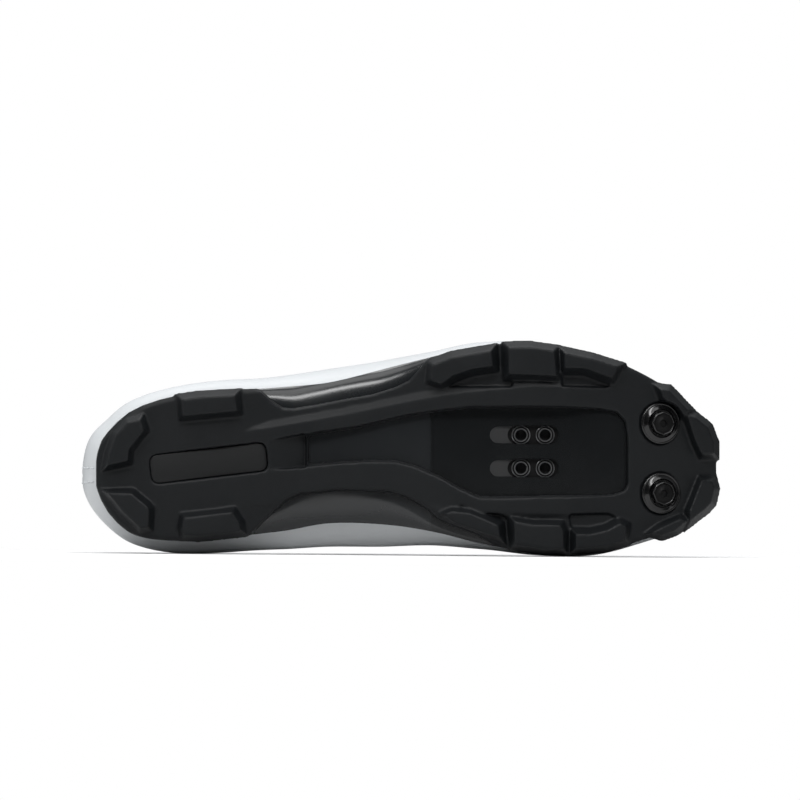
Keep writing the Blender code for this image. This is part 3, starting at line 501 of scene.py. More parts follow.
def buildMouldGrain():
    # fine spark texture of a mould, with a soft unevenness under it
    group, given, out = newGroup("mouldGrain", [("Vector", vectorKind, None), ("Scale", floatKind, 2500.0),
                                                ("Wave", floatKind, 0.3)], [("Height", floatKind)])
    place, scale = given.outputs["Vector"], given.outputs["Scale"]
    fine = addNode(group, "ShaderNodeTexNoise", {"Vector": place, "Scale": scale, "Detail": 2.0,
                                                 "Roughness": 0.6})
    broadScale = maths(group, "MULTIPLY", scale, 0.06)
    broad = addNode(group, "ShaderNodeTexNoise", {"Vector": place, "Scale": broadScale, "Detail": 1.0})
    total = maths(group, "MULTIPLY_ADD", broad.outputs[0], given.outputs["Wave"], fine.outputs[0])
    group.links.new(total, out.inputs["Height"])
    return group


def buildClouding():
    # uneven patches of handling and mould release, from 0 to 1
    group, given, out = newGroup("clouding", [("Vector", vectorKind, None), ("Scale", floatKind, 60.0),
                                              ("Contrast", floatKind, 0.25)], [("Mask", floatKind)])
    cloud = addNode(group, "ShaderNodeTexNoise", {"Vector": given.outputs["Vector"],
                                                  "Scale": given.outputs["Scale"], "Detail": 5.0,
                                                  "Roughness": 0.62})
    contrast = given.outputs["Contrast"]
    ramp = addNode(group, "ShaderNodeMapRange", {
        "Value": cloud.outputs[0], "From Min": maths(group, "SUBTRACT", 0.5, contrast),
        "From Max": maths(group, "ADD", 0.5, contrast)}, interpolation_type="SMOOTHSTEP")
    group.links.new(ramp.outputs[0], out.inputs["Mask"])
    return group


def buildSheetGrain():
    # grain of a smooth coated sheet: tiny rounded cells with pores
    group, given, out = newGroup("sheetGrain", [("Vector", vectorKind, None), ("Scale", floatKind, 1500.0),
                                                ("Soft", floatKind, 0.5)], [("Height", floatKind)])
    place = given.outputs["Vector"]
    warp = addNode(group, "ShaderNodeTexNoise", {"Vector": place, "Scale": 400.0, "Detail": 1.0})
    shift = addNode(group, "ShaderNodeVectorMath", {0: warp.outputs["Color"], 1: (0.0006, 0.0006, 0.0006)},
                    operation="MULTIPLY")
    moved = addNode(group, "ShaderNodeVectorMath", {0: place, 1: shift.outputs[0]}, operation="ADD")
    cells = addNode(group, "ShaderNodeTexVoronoi", {"Vector": moved.outputs[0],
                                                    "Scale": given.outputs["Scale"]}, feature="SMOOTH_F1")
    crown = maths(group, "SUBTRACT", 1.0, cells.outputs["Distance"])
    total = maths(group, "MULTIPLY_ADD", warp.outputs[0], given.outputs["Soft"], crown)
    group.links.new(total, out.inputs["Height"])
    return group


def buildWeave():
    # plain weave over a piece's own UV map: threads over and under, from 0 to 1
    group, given, out = newGroup("threadWeave", [("Vector", vectorKind, None), ("Across", floatKind, 60.0),
                                                 ("Along", floatKind, 200.0)],
                                 [("Height", floatKind), ("Mask", floatKind)])
    parts = addNode(group, "ShaderNodeSeparateXYZ", {0: given.outputs["Vector"]})
    waves = []
    for axis, scale in ((0, "Along"), (1, "Across")):
        count = maths(group, "MULTIPLY", parts.outputs[axis], given.outputs[scale])
        waves.append(maths(group, "SINE", maths(group, "MULTIPLY", count, math.pi)))
    product = maths(group, "MULTIPLY", *waves)
    group.links.new(maths(group, "ABSOLUTE", product), out.inputs["Height"])
    group.links.new(maths(group, "MULTIPLY_ADD", product, 0.5, 0.5), out.inputs["Mask"])
    return group


groups = {"mould": buildMouldGrain(), "cloud": buildClouding(), "sheet": buildSheetGrain(),
          "weave": buildWeave()}


def useGroup(tree, key, inputs):
    node = tree.nodes.new("ShaderNodeGroup")
    node.node_tree = groups[key]
    for name, value in inputs.items():
        if isinstance(value, bpy.types.NodeSocket):
            tree.links.new(value, node.inputs[name])
        else:
            node.inputs[name].default_value = value
    return node


def surface(name, values):
    # Material with a clouded colour and roughness and a fine relief. values are a piece's finish.
    stuff = bpy.data.materials.new(name)
    stuff.use_nodes = True
    tree = stuff.node_tree
    shader = tree.nodes["Principled BSDF"]
    coordinates = addNode(tree, "ShaderNodeTexCoord")
    place = coordinates.outputs["Object"]
    cloud = useGroup(tree, "cloud", {"Vector": place, "Scale": values["cloudScale"],
                                     "Contrast": values.get("cloudContrast", 0.25)})
    colour = mixed(tree, cloud.outputs["Mask"], (*values["colour"], 1.0), (*values["shade"], 1.0))
    rough = ranged(tree, cloud.outputs["Mask"], 0.0, 1.0, *values["rough"])
    # painted shade: past a given place along the shoe the colour turns darker, over the floor of the deep
    # cleat pocket
    if "pocketShade" in values:
        start, end, pocketShadeColour = values["pocketShade"]
        parts = addNode(tree, "ShaderNodeSeparateXYZ", {0: place})
        colour = mixed(tree, ranged(tree, parts.outputs[0], start, end), colour, (*pocketShadeColour, 1.0))
    grainKey, grainInputs, depth = values["grain"]
    if grainKey == "weave":
        grain = useGroup(tree, "weave", {"Vector": coordinates.outputs["UV"], **grainInputs})
        colour = mixed(tree, grain.outputs["Mask"], colour, (*values["thread"], 1.0))
    else:
        grain = useGroup(tree, grainKey, {"Vector": place, **grainInputs})
    tree.links.new(colour, shader.inputs["Base Color"])
    tree.links.new(rough, shader.inputs["Roughness"])
    bump = addNode(tree, "ShaderNodeBump", {"Height": grain.outputs["Height"], "Strength": 1.0,
                                            "Distance": depth})
    tree.links.new(bump.outputs[0], shader.inputs["Normal"])
    for key, value in values.get("constant", {}).items():
        shader.inputs[key].default_value = value
    return stuff


pocketPlace = (toRow @ plan(0.5505, 0.0)).x  # where the floor of the cleat pocket starts
finishes = {
    "treadRubber": {
        "colour": (0.0044, 0.0053, 0.0062), "shade": (0.0050, 0.0059, 0.0068), "cloudScale": 45.0,
        "rough": (0.48, 0.54), "grain": ("mould", {"Scale": 2600.0, "Wave": 0.4}, 0.00004),
        "constant": {"Specular IOR Level": 0.21},
    },
    "satinNylon": {
        "colour": (0.0125, 0.0138, 0.0150), "shade": (0.0130, 0.0144, 0.0156), "cloudScale": 38.0,
        "rough": (0.17, 0.20), "grain": ("mould", {"Scale": 1700.0, "Wave": 0.1}, 0.000006),
        "constant": {"Specular IOR Level": 0.50},
        # painted shade over the deep cleat pocket: the darker colour beyond the pocket's start
        "pocketShade": (pocketPlace - 0.0005, pocketPlace, (0.0064, 0.0072, 0.0078)),  # start, end, colour beyond it
    },
    # lighter nylon for the ramps before the slots: a painted highlight where the ramp catches the light
    "rampHighlightNylon": {
        "colour": (0.0140, 0.0145, 0.0152), "shade": (0.0115, 0.0120, 0.0126), "cloudScale": 200.0,
        "rough": (0.40, 0.50), "grain": ("mould", {"Scale": 1700.0, "Wave": 0.1}, 0.000010),
        "constant": {"Specular IOR Level": 0.50},
    },
    "inlayRubber": {
        "colour": (0.0040, 0.0045, 0.0049), "shade": (0.0044, 0.0049, 0.0053), "cloudScale": 70.0,
        "rough": (0.58, 0.64), "grain": ("mould", {"Scale": 3200.0, "Wave": 0.2}, 0.00003),
        "constant": {"Specular IOR Level": 0.28},
    },
    "glossStud": {
        "colour": (0.0030, 0.0031, 0.0033), "shade": (0.0042, 0.0042, 0.0044), "cloudScale": 220.0,
        "rough": (0.14, 0.22), "grain": ("mould", {"Scale": 900.0, "Wave": 0.6}, 0.00001),
        "constant": {"Specular IOR Level": 0.50},
    },
    "platedSteel": {
        "colour": (0.240, 0.245, 0.250), "shade": (0.170, 0.174, 0.178), "cloudScale": 300.0,
        "rough": (0.26, 0.38), "grain": ("mould", {"Scale": 2200.0, "Wave": 0.2}, 0.00001),
        "constant": {"Metallic": 0.9},
    },
    "blackPlate": {
        "colour": (0.0030, 0.0030, 0.0032), "shade": (0.0020, 0.0020, 0.0021), "cloudScale": 300.0,
        "rough": (0.45, 0.55), "grain": ("mould", {"Scale": 2200.0, "Wave": 0.2}, 0.00002),
        "constant": {"Specular IOR Level": 0.15},
    },
    "paleSheet": {
        "colour": (0.530, 0.548, 0.562), "shade": (0.512, 0.531, 0.545), "cloudScale": 26.0,
        "rough": (0.40, 0.50), "grain": ("sheet", {"Scale": 1700.0, "Soft": 0.6}, 0.00004),
        "constant": {"Specular IOR Level": 0.40},
    },
    "paleBinding": {
        "colour": (0.560, 0.585, 0.605), "shade": (0.520, 0.545, 0.565), "cloudScale": 90.0,
        "rough": (0.62, 0.74), "grain": ("weave", {"Across": 26.0, "Along": 900.0}, 0.00008),
        "thread": (0.60, 0.62, 0.64), "constant": {"Sheen Weight": 0.25},
    },
    "greyLining": {
        "colour": (0.200, 0.208, 0.215), "shade": (0.165, 0.172, 0.180), "cloudScale": 80.0,
        "rough": (0.80, 0.90), "grain": ("weave", {"Across": 150.0, "Along": 900.0}, 0.00015),
        "thread": (0.26, 0.27, 0.28), "constant": {"Sheen Weight": 0.3},
    },
    "tongueKnit": {
        "colour": (0.520, 0.540, 0.560), "shade": (0.480, 0.500, 0.520), "cloudScale": 90.0,
        "rough": (0.70, 0.82), "grain": ("weave", {"Across": 110.0, "Along": 260.0}, 0.00018),
        "thread": (0.60, 0.62, 0.64), "constant": {"Sheen Weight": 0.3},
    },
    "footbedCloth": {
        "colour": (0.012, 0.012, 0.013), "shade": (0.009, 0.009, 0.010), "cloudScale": 60.0,
        "rough": (0.80, 0.92), "grain": ("weave", {"Across": 160.0, "Along": 520.0}, 0.00015),
        "thread": (0.020, 0.020, 0.022), "constant": {"Sheen Weight": 0.1},
    },
    "laceWeave": {
        "colour": (0.560, 0.580, 0.600), "shade": (0.520, 0.540, 0.560), "cloudScale": 150.0,
        "rough": (0.72, 0.84), "grain": ("weave", {"Across": 28.0, "Along": 60.0}, 0.00016),
        "thread": (0.64, 0.66, 0.68), "constant": {"Sheen Weight": 0.35},
    },
    "eyeletPaint": {
        "colour": (0.420, 0.435, 0.450), "shade": (0.380, 0.395, 0.410), "cloudScale": 200.0,
        "rough": (0.28, 0.38), "grain": ("mould", {"Scale": 1500.0, "Wave": 0.3}, 0.00002),
        "constant": {"Coat Weight": 0.3, "Coat Roughness": 0.2},
    },
    "seamThread": {
        "colour": (0.600, 0.620, 0.640), "shade": (0.540, 0.560, 0.580), "cloudScale": 400.0,
        "rough": (0.60, 0.72), "grain": ("mould", {"Scale": 4000.0, "Wave": 0.2}, 0.00003),
    },
}
stuffs = {name: surface(name, values) for name, values in finishes.items()}
print("materials ready")


# Outsole: the solid's form with moulded, slightly rounded edges

outsoleValues = {"voxel": 0.00055, "smoothing": 5, "keep": 0.72}


def makeOutsole():
    rubber = copyOfNode("outsole", "outsoleRubber")
    addModifier(rubber, "REMESH", mode="VOXEL", voxel_size=outsoleValues["voxel"], adaptivity=0.0)
    addModifier(rubber, "SMOOTH", factor=0.5, iterations=outsoleValues["smoothing"])
    addModifier(rubber, "DECIMATE", ratio=outsoleValues["keep"])
    applyModifiers(rubber)
    return finishPiece(rubber, stuffs["treadRubber"], ["outsole"], moved=False)


makeOutsole()
print("outsole ready")


# Base plate: one long section loft, then the pocket, the slots and the nut's seat are cut into it

plateValues = {
    "stations": 150, "flankSteps": 14, "steepest": 0.42, "swell": 0.965, "pocket": 0.0110, "web": 0.0022,
    "slotLength": 0.0215, "slotWidth": 0.0075, "slotSpacing": 0.014,
    "nutLength": 0.027, "nutWidth": 0.026, "nutThickness": 0.0025,
    "chamfer": 0.0005, "cleat": (0.708, -0.0765), "boltSpacing": 0.0102,
    "pocketOutline": [(0.552, -0.262), (0.610, -0.272), (0.820, -0.268), (0.820, 0.118), (0.628, 0.124),
                      (0.596, 0.084), (0.552, 0.020)],
    "grooveOutline": [(0.5475, -0.262), (0.5510, -0.262), (0.5510, 0.020), (0.5475, 0.014)],
    "grooveDepth": 0.0005,
    "rampLength": 0.0060, "rampDepth": 0.0012,
}


def plateSection(x):
    left, right = edgeAcross(x, "outer"), edgeAcross(x, "inner")
    width = min(sole["flank"] * soleShare("flank", x), 0.3 * (right - left))
    low = rubberTop(x) + sole["gap"]
    top = seatHeight(x)
    room = max(0.0, top - low - sole["lip"])
    rise = max(min(room, plateValues["steepest"] * width), 0.0004)
    steps, swell = plateValues["flankSteps"], plateValues["swell"]
    curve = []
    for k in range(steps + 1):
        t = k / steps
        bow = (1 - math.sqrt(1 - (swell * (1 - t)) ** 2)) / (1 - math.sqrt(1 - swell ** 2))
        curve.append((width * t, rise * bow))
    lip = min(0.0005, (top - low) / 4)
    ring = [(left + lip, top), (left, top - lip)]
    ring += [(left + a, low + b) for a, b in curve]
    ring += [(left + width + (right - left - 2 * width) * k / 8, low) for k in range(1, 8)]
    ring += [(right - a, low + b) for a, b in reversed(curve)]
    ring += [(right, top - lip), (right - lip, top)]
    ring += [(right + (left - right) * k / 6, top) for k in range(1, 6)]
    return [Vector((x, y, z)) for y, z in ring]


def makeBasePlate():
    stations = plateValues["stations"]
    start, end = edgePoint(0).x + 0.0004, edgePoint(toePlace).x - 0.0004
    sections = []
    for k in range(stations + 1):
        sections.append(plateSection(start + (end - start) * 0.5 * (1 - math.cos(math.pi * k / stations))))
    count = len(sections[0])

    def pointAt(u, v):
        return sections[round(u * stations)][round(v * count) % count]

    plate = gridPiece("basePlateMoulded", stations, count, pointAt, closed=True)
    closeHoles(plate)
    outline = [plan(*p) for p in plateValues["pocketOutline"]]
    floorHeight = plateValues["pocket"]
    cutWith(plate, slabFromOutline("pocketCutter", outline, lambda x: -0.005, lambda x: floorHeight,
                                   corner=0.0035, cornerSteps=5))
    groove = [plan(*p) for p in plateValues["grooveOutline"]]
    cutWith(plate, slabFromOutline("grooveCutter", groove, lambda x: -0.005,
                                   lambda x: floorHeight + plateValues["grooveDepth"]))
    centre = plan(*plateValues["cleat"])
    ramps = []
    for side in (-0.5, 0.5):
        middle = centre + Vector((0, side * plateValues["slotSpacing"], 0))
        chamfer = plateValues["chamfer"]
        outline = capsuleOutline(middle, plateValues["slotLength"], plateValues["slotWidth"])
        cutWith(plate, slabFromOutline("slotCutter", outline, lambda x: floorHeight - 0.001,
                                       lambda x: floorHeight + plateValues["web"] + sole["gap"]))
        mouth = capsuleOutline(middle, plateValues["slotLength"] + 2 * chamfer,
                               plateValues["slotWidth"] + 2 * chamfer)
        cutWith(plate, slabFromOutline("slotMouth", mouth, lambda x: floorHeight - chamfer,
                                       lambda x: floorHeight + chamfer * 0.8))
        ramp = middle + Vector((-plateValues["slotLength"] / 2 - plateValues["rampLength"] / 4, 0, 0))
        rear = ramp.x - plateValues["rampLength"]
        ramps.append(ramp)
        outline = capsuleOutline(ramp, plateValues["rampLength"] * 2, plateValues["slotWidth"] - 0.0004)
        cutWith(plate, slabFromOutline("rampCutter", outline, lambda x: floorHeight - 0.001,
                                       lambda x: floorHeight + plateValues["rampDepth"] * min(1.0, max(
                                           0.0, (x - rear) / plateValues["rampLength"]))))
    cavity = capsuleOutline(centre, plateValues["nutLength"] + plateValues["slotSpacing"],
                            plateValues["nutWidth"] + 2 * sole["gap"])
    cutWith(plate, slabFromOutline("nutCutter", cavity, lambda x: floorHeight + plateValues["web"],
                                   lambda x: seatHeight(x) + 0.003))
    plate.data.materials.append(stuffs["satinNylon"])
    plate.data.materials.append(stuffs["rampHighlightNylon"])
    # the ramp faces take the lighter nylon, a painted highlight on each ramp
    for face in plate.data.polygons:
        off = min(((face.center - ramp).to_2d().length for ramp in ramps))
        if off < plateValues["rampLength"] and floorHeight + 0.00002 < face.center.z and face.normal.z < -0.5:
            face.material_index = int(face.center.z < floorHeight + plateValues["rampDepth"])
    return finishPiece(plate, [], ["base_plate"], flat=32)


makeBasePlate()
print("base plate ready")


# Threaded plate behind the slots, with a raised collar and cut threads at each hole

nutValues = {
    "boss": 0.0040, "bore": 0.0022, "rise": 0.0010, "pitch": 0.0008, "threadDepth": 0.00028, "rim": 0.00026,
}


def makeNutPlate():
    low = plateValues["pocket"] + plateValues["web"] + sole["gap"]
    centre = plan(*plateValues["cleat"])
    outline = capsuleOutline(centre, plateValues["nutLength"] + plateValues["slotSpacing"] - 2 * sole["gap"],
                             plateValues["nutWidth"])
    plate = slabFromOutline("nutPlate", outline, lambda x: low, lambda x: low + plateValues["nutThickness"])
    places = [centre + Vector((a * plateValues["boltSpacing"], b * plateValues["slotSpacing"], 0))
              for a in (-0.5, 0.5) for b in (-0.5, 0.5)]
    for place in places:
        hole = slabFromOutline("holeCutter", capsuleOutline(place, 2 * nutValues["boss"] - 0.0004,
                                                            2 * nutValues["boss"] - 0.0004),
                               lambda x: low - 0.001, lambda x: low + 0.01)
        cutWith(plate, hole)
    boss, bore = nutValues["boss"], nutValues["bore"]
    top = low - nutValues["rise"]
    bottom = low + plateValues["nutThickness"]
    profile = [(boss, bottom), (boss, top + 0.0004), (boss - 0.0001, top + 0.0001), (boss - 0.0003, top),
               (boss - 0.0005, top + 0.0004), (bore + 0.0007, top + 0.0004), (bore + 0.0006, top),
               (bore + 0.0003, top), (bore + 0.0001, top + 0.0003)]
    turns = int((bottom - top - 0.0006) / nutValues["pitch"])
    for k in range(turns):
        start = top + 0.0005 + k * nutValues["pitch"]
        profile += [(bore, start), (bore, start + 0.2 * nutValues["pitch"]),
                    (bore + nutValues["threadDepth"], start + 0.6 * nutValues["pitch"])]
    profile += [(bore, bottom - 0.0001), (bore, bottom), (boss, bottom)]
    collar = turnedPiece("threadCollar", profile, 40)
    collar.data.materials.append(stuffs["blackPlate"])
    collar.data.materials.append(stuffs["platedSteel"])
    for face in collar.data.polygons:
        reach = face.center.to_2d().length
        nearRim = min(abs(reach - boss + 0.0002), abs(reach - bore - 0.0004)) < nutValues["rim"]
        face.material_index = int(nearRim and face.center.z < top + 0.0004)
    plate.data.materials.append(stuffs["blackPlate"])
    parts = [plate] + [placedCopy(collar, "threadCollarCopy", Matrix.Translation(place)) for place in places]
    bpy.data.objects.remove(collar, do_unlink=True)
    return finishPiece(joinPieces("nutPlateThreaded", parts), [], ["cleat_nut_plate"], flat=35)


makeNutPlate()
print("nut plate ready")


# Heel inlay: the solid's rounded bar with a softened rim

inlayValues = {"rim": 0.00045}


def makeHeelInlay():
    inlay = copyOfNode("heel_inlay", "heelInlayPad")
    editWhole(inlay, lambda: bpy.ops.mesh.dissolve_limited(angle_limit=math.radians(3)))
    addModifier(inlay, "BEVEL", width=inlayValues["rim"], segments=3, limit_method="ANGLE",
                angle_limit=math.radians(50))
    applyModifiers(inlay)
    return finishPiece(inlay, stuffs["inlayRubber"], ["heel_inlay"], flat=30, moved=False)


makeHeelInlay()
print("heel inlay ready")


# Toe studs: a dished flange, a hexagonal cap with soft corners and a small socket

studValues = {
    "radius": 0.00875, "seat": 0.0009, "rise": 0.0042, "cap": 0.0060, "shank": 0.0025, "shankLength": 0.0040,
    "places": {"outer": (0.907, -0.206), "inner": (0.908, 0.114)}, "sides": 8, "hardness": 0.8,
    "face": 0.70,
}


def studAxes(share, across):
    at = plan(share, across)
    step = 0.004
    slope = math.atan2(treadFloor(at.x + step) - treadFloor(at.x - step), 2 * step)
    at.z = treadFloor(at.x)
    return Matrix.Translation(at) @ Matrix.Rotation(math.pi - slope, 4, "Y")


def makeStud(side):
    base = -studValues["seat"] + sole["gap"]
    radius, cap, rise = studValues["radius"], studValues["cap"], studValues["rise"]
    low = base - studValues["shankLength"]
    flange = turnedPiece("studFlange", [
        (0.0, low), (studValues["shank"], low), (studValues["shank"], base), (radius - 0.0012, base),
        (radius - 0.0002, base + 0.0004), (radius, base + 0.0009), (radius - 0.0001, base + 0.0012),
        (radius - 0.0003, base + 0.0014), (radius - 0.0006, base + 0.0015), (radius - 0.0008, base + 0.0014),
        (radius - 0.0010, base + 0.0014), (cap + 0.0004, base + 0.0027), (cap + 0.0002, base + 0.0028),
        (cap, base + 0.0027), (cap - 0.0003, base + 0.0020), (cap - 0.0008, base + 0.0020),
        (cap - 0.0012, rise - 0.0010), (0.0, rise - 0.0010)], 64)
    sides = studValues["sides"]
    rings = [(0.96, base + 0.0018), (0.92, rise - 0.0009), (0.89, rise - 0.0004), (0.85, rise - 0.0001),
             (0.81, rise), (0.78, rise - 0.0001), (0.75, rise - 0.0005), (0.72, rise - 0.0007),
             (0.34, rise - 0.0005), (0.31, rise - 0.0003), (0.27, rise - 0.0003), (0.25, rise - 0.0006),
             (0.23, rise - 0.0019), (0.02, rise - 0.0020)]

    def headPoint(u, v):
        share, height = rings[round(v * (len(rings) - 1))]
        angle = math.tau * u
        turned = (angle % (math.tau / sides)) - math.pi / sides
        flat = math.cos(math.pi / sides) / math.cos(turned)
        corner = 1.0 + (flat - 1.0) * studValues["hardness"]
        reach = (cap - 0.0003) * share * corner
        return Vector((reach * math.cos(angle), reach * math.sin(angle), height))

    head = gridPiece("studHead", 48, len(rings) - 1, headPoint, closed=True)
    closeHoles(head)
    stud = joinPieces("toeStud" + side.capitalize(), [flange, head])
    stud.data.materials.append(stuffs["glossStud"])
    stud.data.materials.append(stuffs["blackPlate"])
    for face in stud.data.polygons:
        inside = face.center.to_2d().length < studValues["face"] * cap
        face.material_index = int(inside and face.center.z > base + studValues["rise"] / 2)
    stud.data.transform(studAxes(*studValues["places"][side]))
    return finishPiece(stud, [], ["toe_stud_" + side], flat=50)


for studSide in studValues["places"]:
    makeStud(studSide)
print("toe studs ready")


# Upper: one welded shell, with a raised facing along the throat and a seam down the back of the heel

upperValues = {
    "columns": 34 * 10, "lowRows": 8, "highRows": 26, "facingWidth": 0.0155, "facingRise": 0.0006,
    "facingStart": 7.6, "facingBlend": 0.35, "seamDepth": 0.00025, "seamWidth": 0.11,
    "eyelets": 6, "eyeletInset": 0.0075, "eyeletHole": 0.0040, "cutterReach": (-0.006, 0.003),
    "firstRow": 8.35, "lastRow": 12.15,
    "facingSteps": (0.0, 0.02, 0.06, 0.14, 0.30, 0.50, 0.70, 0.88, 1.0),  # shares of the way up the facing
}


# Creases of the upper, as place and climb of the middle, half length, half width, lean and depth. A depth
# below 0 is a ridge.
creases = [
    (26.30, 0.62, 0.55, 0.10, 0.10, 0.00035), (26.10, 0.84, 0.60, 0.11, 0.10, -0.00020),
    (24.60, 0.95, 0.80, 0.16, 0.06, 0.00030), (23.40, 1.10, 0.70, 0.14, -0.05, 0.00022),
    (9.90, 1.42, 0.75, 0.12, 0.10, 0.00035), (10.60, 1.30, 0.70, 0.12, 0.12, -0.00022),
    (11.60, 1.45, 0.60, 0.12, 0.10, 0.00040), (22.30, 1.40, 0.70, 0.12, -0.10, 0.00040),
    (2.20, 1.30, 0.60, 0.18, 0.20, 0.00030), (31.80, 1.30, 0.60, 0.18, -0.20, 0.00030),
]


def facingShare(place):
    # 1 along the throat, 0 round the collar.
    mirrored = place if place <= toePlace else fullRound - place
    start, blend = upperValues["facingStart"], upperValues["facingBlend"]
    return fade(mirrored, start - blend, start + blend)


def makeUpper():
    v = upperValues
    total = v["lowRows"] + v["highRows"] + len(v["facingSteps"]) - 1
    facingClimb = {}

    def pointAt(u, w):
        place = u * fullRound
        key = round(place, 4)
        if key not in facingClimb:
            facingClimb[key] = climbBelow(place, v["facingWidth"])
        split = facingClimb[key]
        row = round(w * total)
        lift = 0.0
        if row <= v["lowRows"]:
            climb = row / v["lowRows"]
        elif row <= v["lowRows"] + v["highRows"]:
            climb = 1.0 + (split - 1.0) * (row - v["lowRows"]) / v["highRows"]
        else:
            step = row - v["lowRows"] - v["highRows"]
            climb = split + (2.0 - split) * v["facingSteps"][step]
            lift = v["facingRise"] * facingShare(place)
        mirrored = min(place, fullRound - place)
        lift -= v["seamDepth"] * max(0.0, 1.0 - mirrored / v["seamWidth"]) * fade(climb, 0.0, 0.2)
        for at, height, lengthwise, upright, lean, depth in creases:
            along = (place - at) / lengthwise
            if abs(along) < 2.5:
                off = (climb - height - lean * (place - at)) / upright
                lift -= depth * math.exp(-along * along - off * off)
        point = wallPoint(place, climb)
        return point + wallNormal(place, climb) * lift if lift else point

    shell = gridPiece("upperShell", v["columns"], total, pointAt, closed=True)
    editWhole(shell, turnOutward)
    middle = wallPoint(5.0, 1.0)
    nearest = min(shell.data.polygons, key=lambda f: (f.center - middle).length)
    faceTowards(shell, nearest, wallNormal(5.0, 1.0))
    shell.data.materials.append(stuffs["paleSheet"])
    shell.data.materials.append(stuffs["greyLining"])
    addModifier(shell, "SOLIDIFY", thickness=last["wall"], offset=-1.0, material_offset=1,
                use_even_offset=False)
    applyModifiers(shell)
    bore = v["eyeletHole"] / 2
    low, high = v["cutterReach"]
    for k in range(v["eyelets"]):
        for place in eyeletPlaces(k):
            cutter = turnedPiece("eyeletCutter", [(0.0, low), (bore, low), (bore, high), (0.0, high)], 20)
            cutter.data.transform(eyeletAxes(place))
            addModifier(shell, "BOOLEAN", object=cutter, operation="DIFFERENCE", solver="EXACT")
    tools = [m.object for m in shell.modifiers]
    applyModifiers(shell)
    for tool in tools:
        bpy.data.objects.remove(tool, do_unlink=True)
    return finishPiece(shell, [], ["upper"], flat=40)


def eyeletPlaces(k):
    row = upperValues["firstRow"] + (upperValues["lastRow"] - upperValues["firstRow"]) * k / (
        upperValues["eyelets"] - 1)
    return row, fullRound - row


def eyeletAxes(place):
    climb = climbBelow(place, upperValues["eyeletInset"])
    normal = wallNormal(place, climb)
    return Matrix.Translation(wallPoint(place, climb)) @ normal.to_track_quat("Z", "Y").to_matrix().to_4x4()


def makeEyelets():
    bore, rise = upperValues["eyeletHole"] / 2, upperValues["facingRise"]
    ring = turnedPiece("eyeletRing", [
        (bore - 0.0003, -0.0024), (bore - 0.0004, -0.0005), (bore - 0.0004, rise + 0.0001),
        (bore - 0.0002, rise + 0.00045), (bore + 0.0003, rise + 0.0006), (bore + 0.0009, rise + 0.00045),
        (bore + 0.0014, rise + 0.0001), (bore + 0.0014, rise - 0.0003), (bore - 0.0001, rise - 0.0004),
        (bore - 0.0001, -0.0024), (bore - 0.0003, -0.0024)], 36)
    parts = []
    for k in range(upperValues["eyelets"]):
        for place in eyeletPlaces(k):
            parts.append(placedCopy(ring, "eyeletRingCopy", eyeletAxes(place)))
    bpy.data.objects.remove(ring, do_unlink=True)
    return finishPiece(joinPieces("eyeletRings", parts), stuffs["eyeletPaint"], flat=60)


bindingValues = {"reach": 7.7, "steps": 180, "thick": 0.0017, "tall": 0.0030, "drop": 0.0016, "inset": 0.55}


def makeCollarBinding():
    v = bindingValues
    reach = v["reach"]

    def pointAt(u, w):
        place = -reach + 2 * reach * u
        top = wallPoint(place, 2.0)
        normal = wallNormal(place, 2.0)
        along = (wallPoint(place + 0.05, 2.0) - wallPoint(place - 0.05, 2.0)).normalized()
        down = normal.cross(along).normalized()
        if down.z > 0:
            down = -down
        centre = top - normal * last["wall"] * v["inset"] + down * v["drop"]
        close = max(0.02, fade(u, 0.0, 0.03) * fade(1 - u, 0.0, 0.03))
        angle = math.tau * w
        return centre + (normal * math.cos(angle) * v["thick"] + down * math.sin(angle) * v["tall"]) * close

    roll = gridPiece("collarBinding", v["steps"], 16, pointAt, closed=True)
    closeHoles(roll)
    return finishPiece(roll, stuffs["paleBinding"])


makeUpper()
makeEyelets()
makeCollarBinding()
print("upper ready")


# Stitches along the facing and down both sides of the back seam

stitchValues = {
    "length": 0.0021, "pitch": 0.0030, "radius": 0.00028, "inset": 0.0017, "lift": 0.0001,
    "facingRun": (8.2, 16.0), "facingSteps": 78, "seamPlaces": (-0.26, 0.26), "seamRun": (0.25, 1.93),
    "seamSteps": 40,
}


def makeStitches():
    bpy.ops.object.select_all(action="DESELECT")
    bpy.ops.mesh.primitive_uv_sphere_add(segments=8, ring_count=6, radius=stitchValues["radius"])
    single = bpy.context.object
    for vertex in single.data.vertices:
        vertex.co.z *= stitchValues["length"] / 2 / stitchValues["radius"]
    parts = []

    def runAlong(pointOf, start, end, steps):
        points = [pointOf(start + (end - start) * k / steps) for k in range(steps + 1)]
        left = 0.0
        for before, after in zip(points, points[1:]):
            step = after - before
            turned = step.normalized().to_track_quat("Z", "Y").to_matrix().to_4x4()
            while left < step.length:
                spot = before + step * (left / step.length)
                parts.append(placedCopy(single, "stitchCopy", Matrix.Translation(spot) @ turned))
                left += stitchValues["pitch"]
            left -= step.length

    def facingSpot(place):
        climb = climbBelow(place, upperValues["facingWidth"] - stitchValues["inset"])
        return wallPoint(place, climb) + wallNormal(place, climb) * upperValues["facingRise"]

    start, end = stitchValues["facingRun"]
    runAlong(facingSpot, start, end, stitchValues["facingSteps"])
    runAlong(facingSpot, fullRound - start, fullRound - end, stitchValues["facingSteps"])
    for side in stitchValues["seamPlaces"]:
        runAlong(lambda climb: wallPoint(side, climb) + wallNormal(side, climb) * stitchValues["lift"],
                 *stitchValues["seamRun"], stitchValues["seamSteps"])
    bpy.data.objects.remove(single, do_unlink=True)
    return finishPiece(joinPieces("seamStitches", parts), stuffs["seamThread"])


makeStitches()
print("stitches ready")


# Tongue: a padded sheet under the throat, with a soft rim

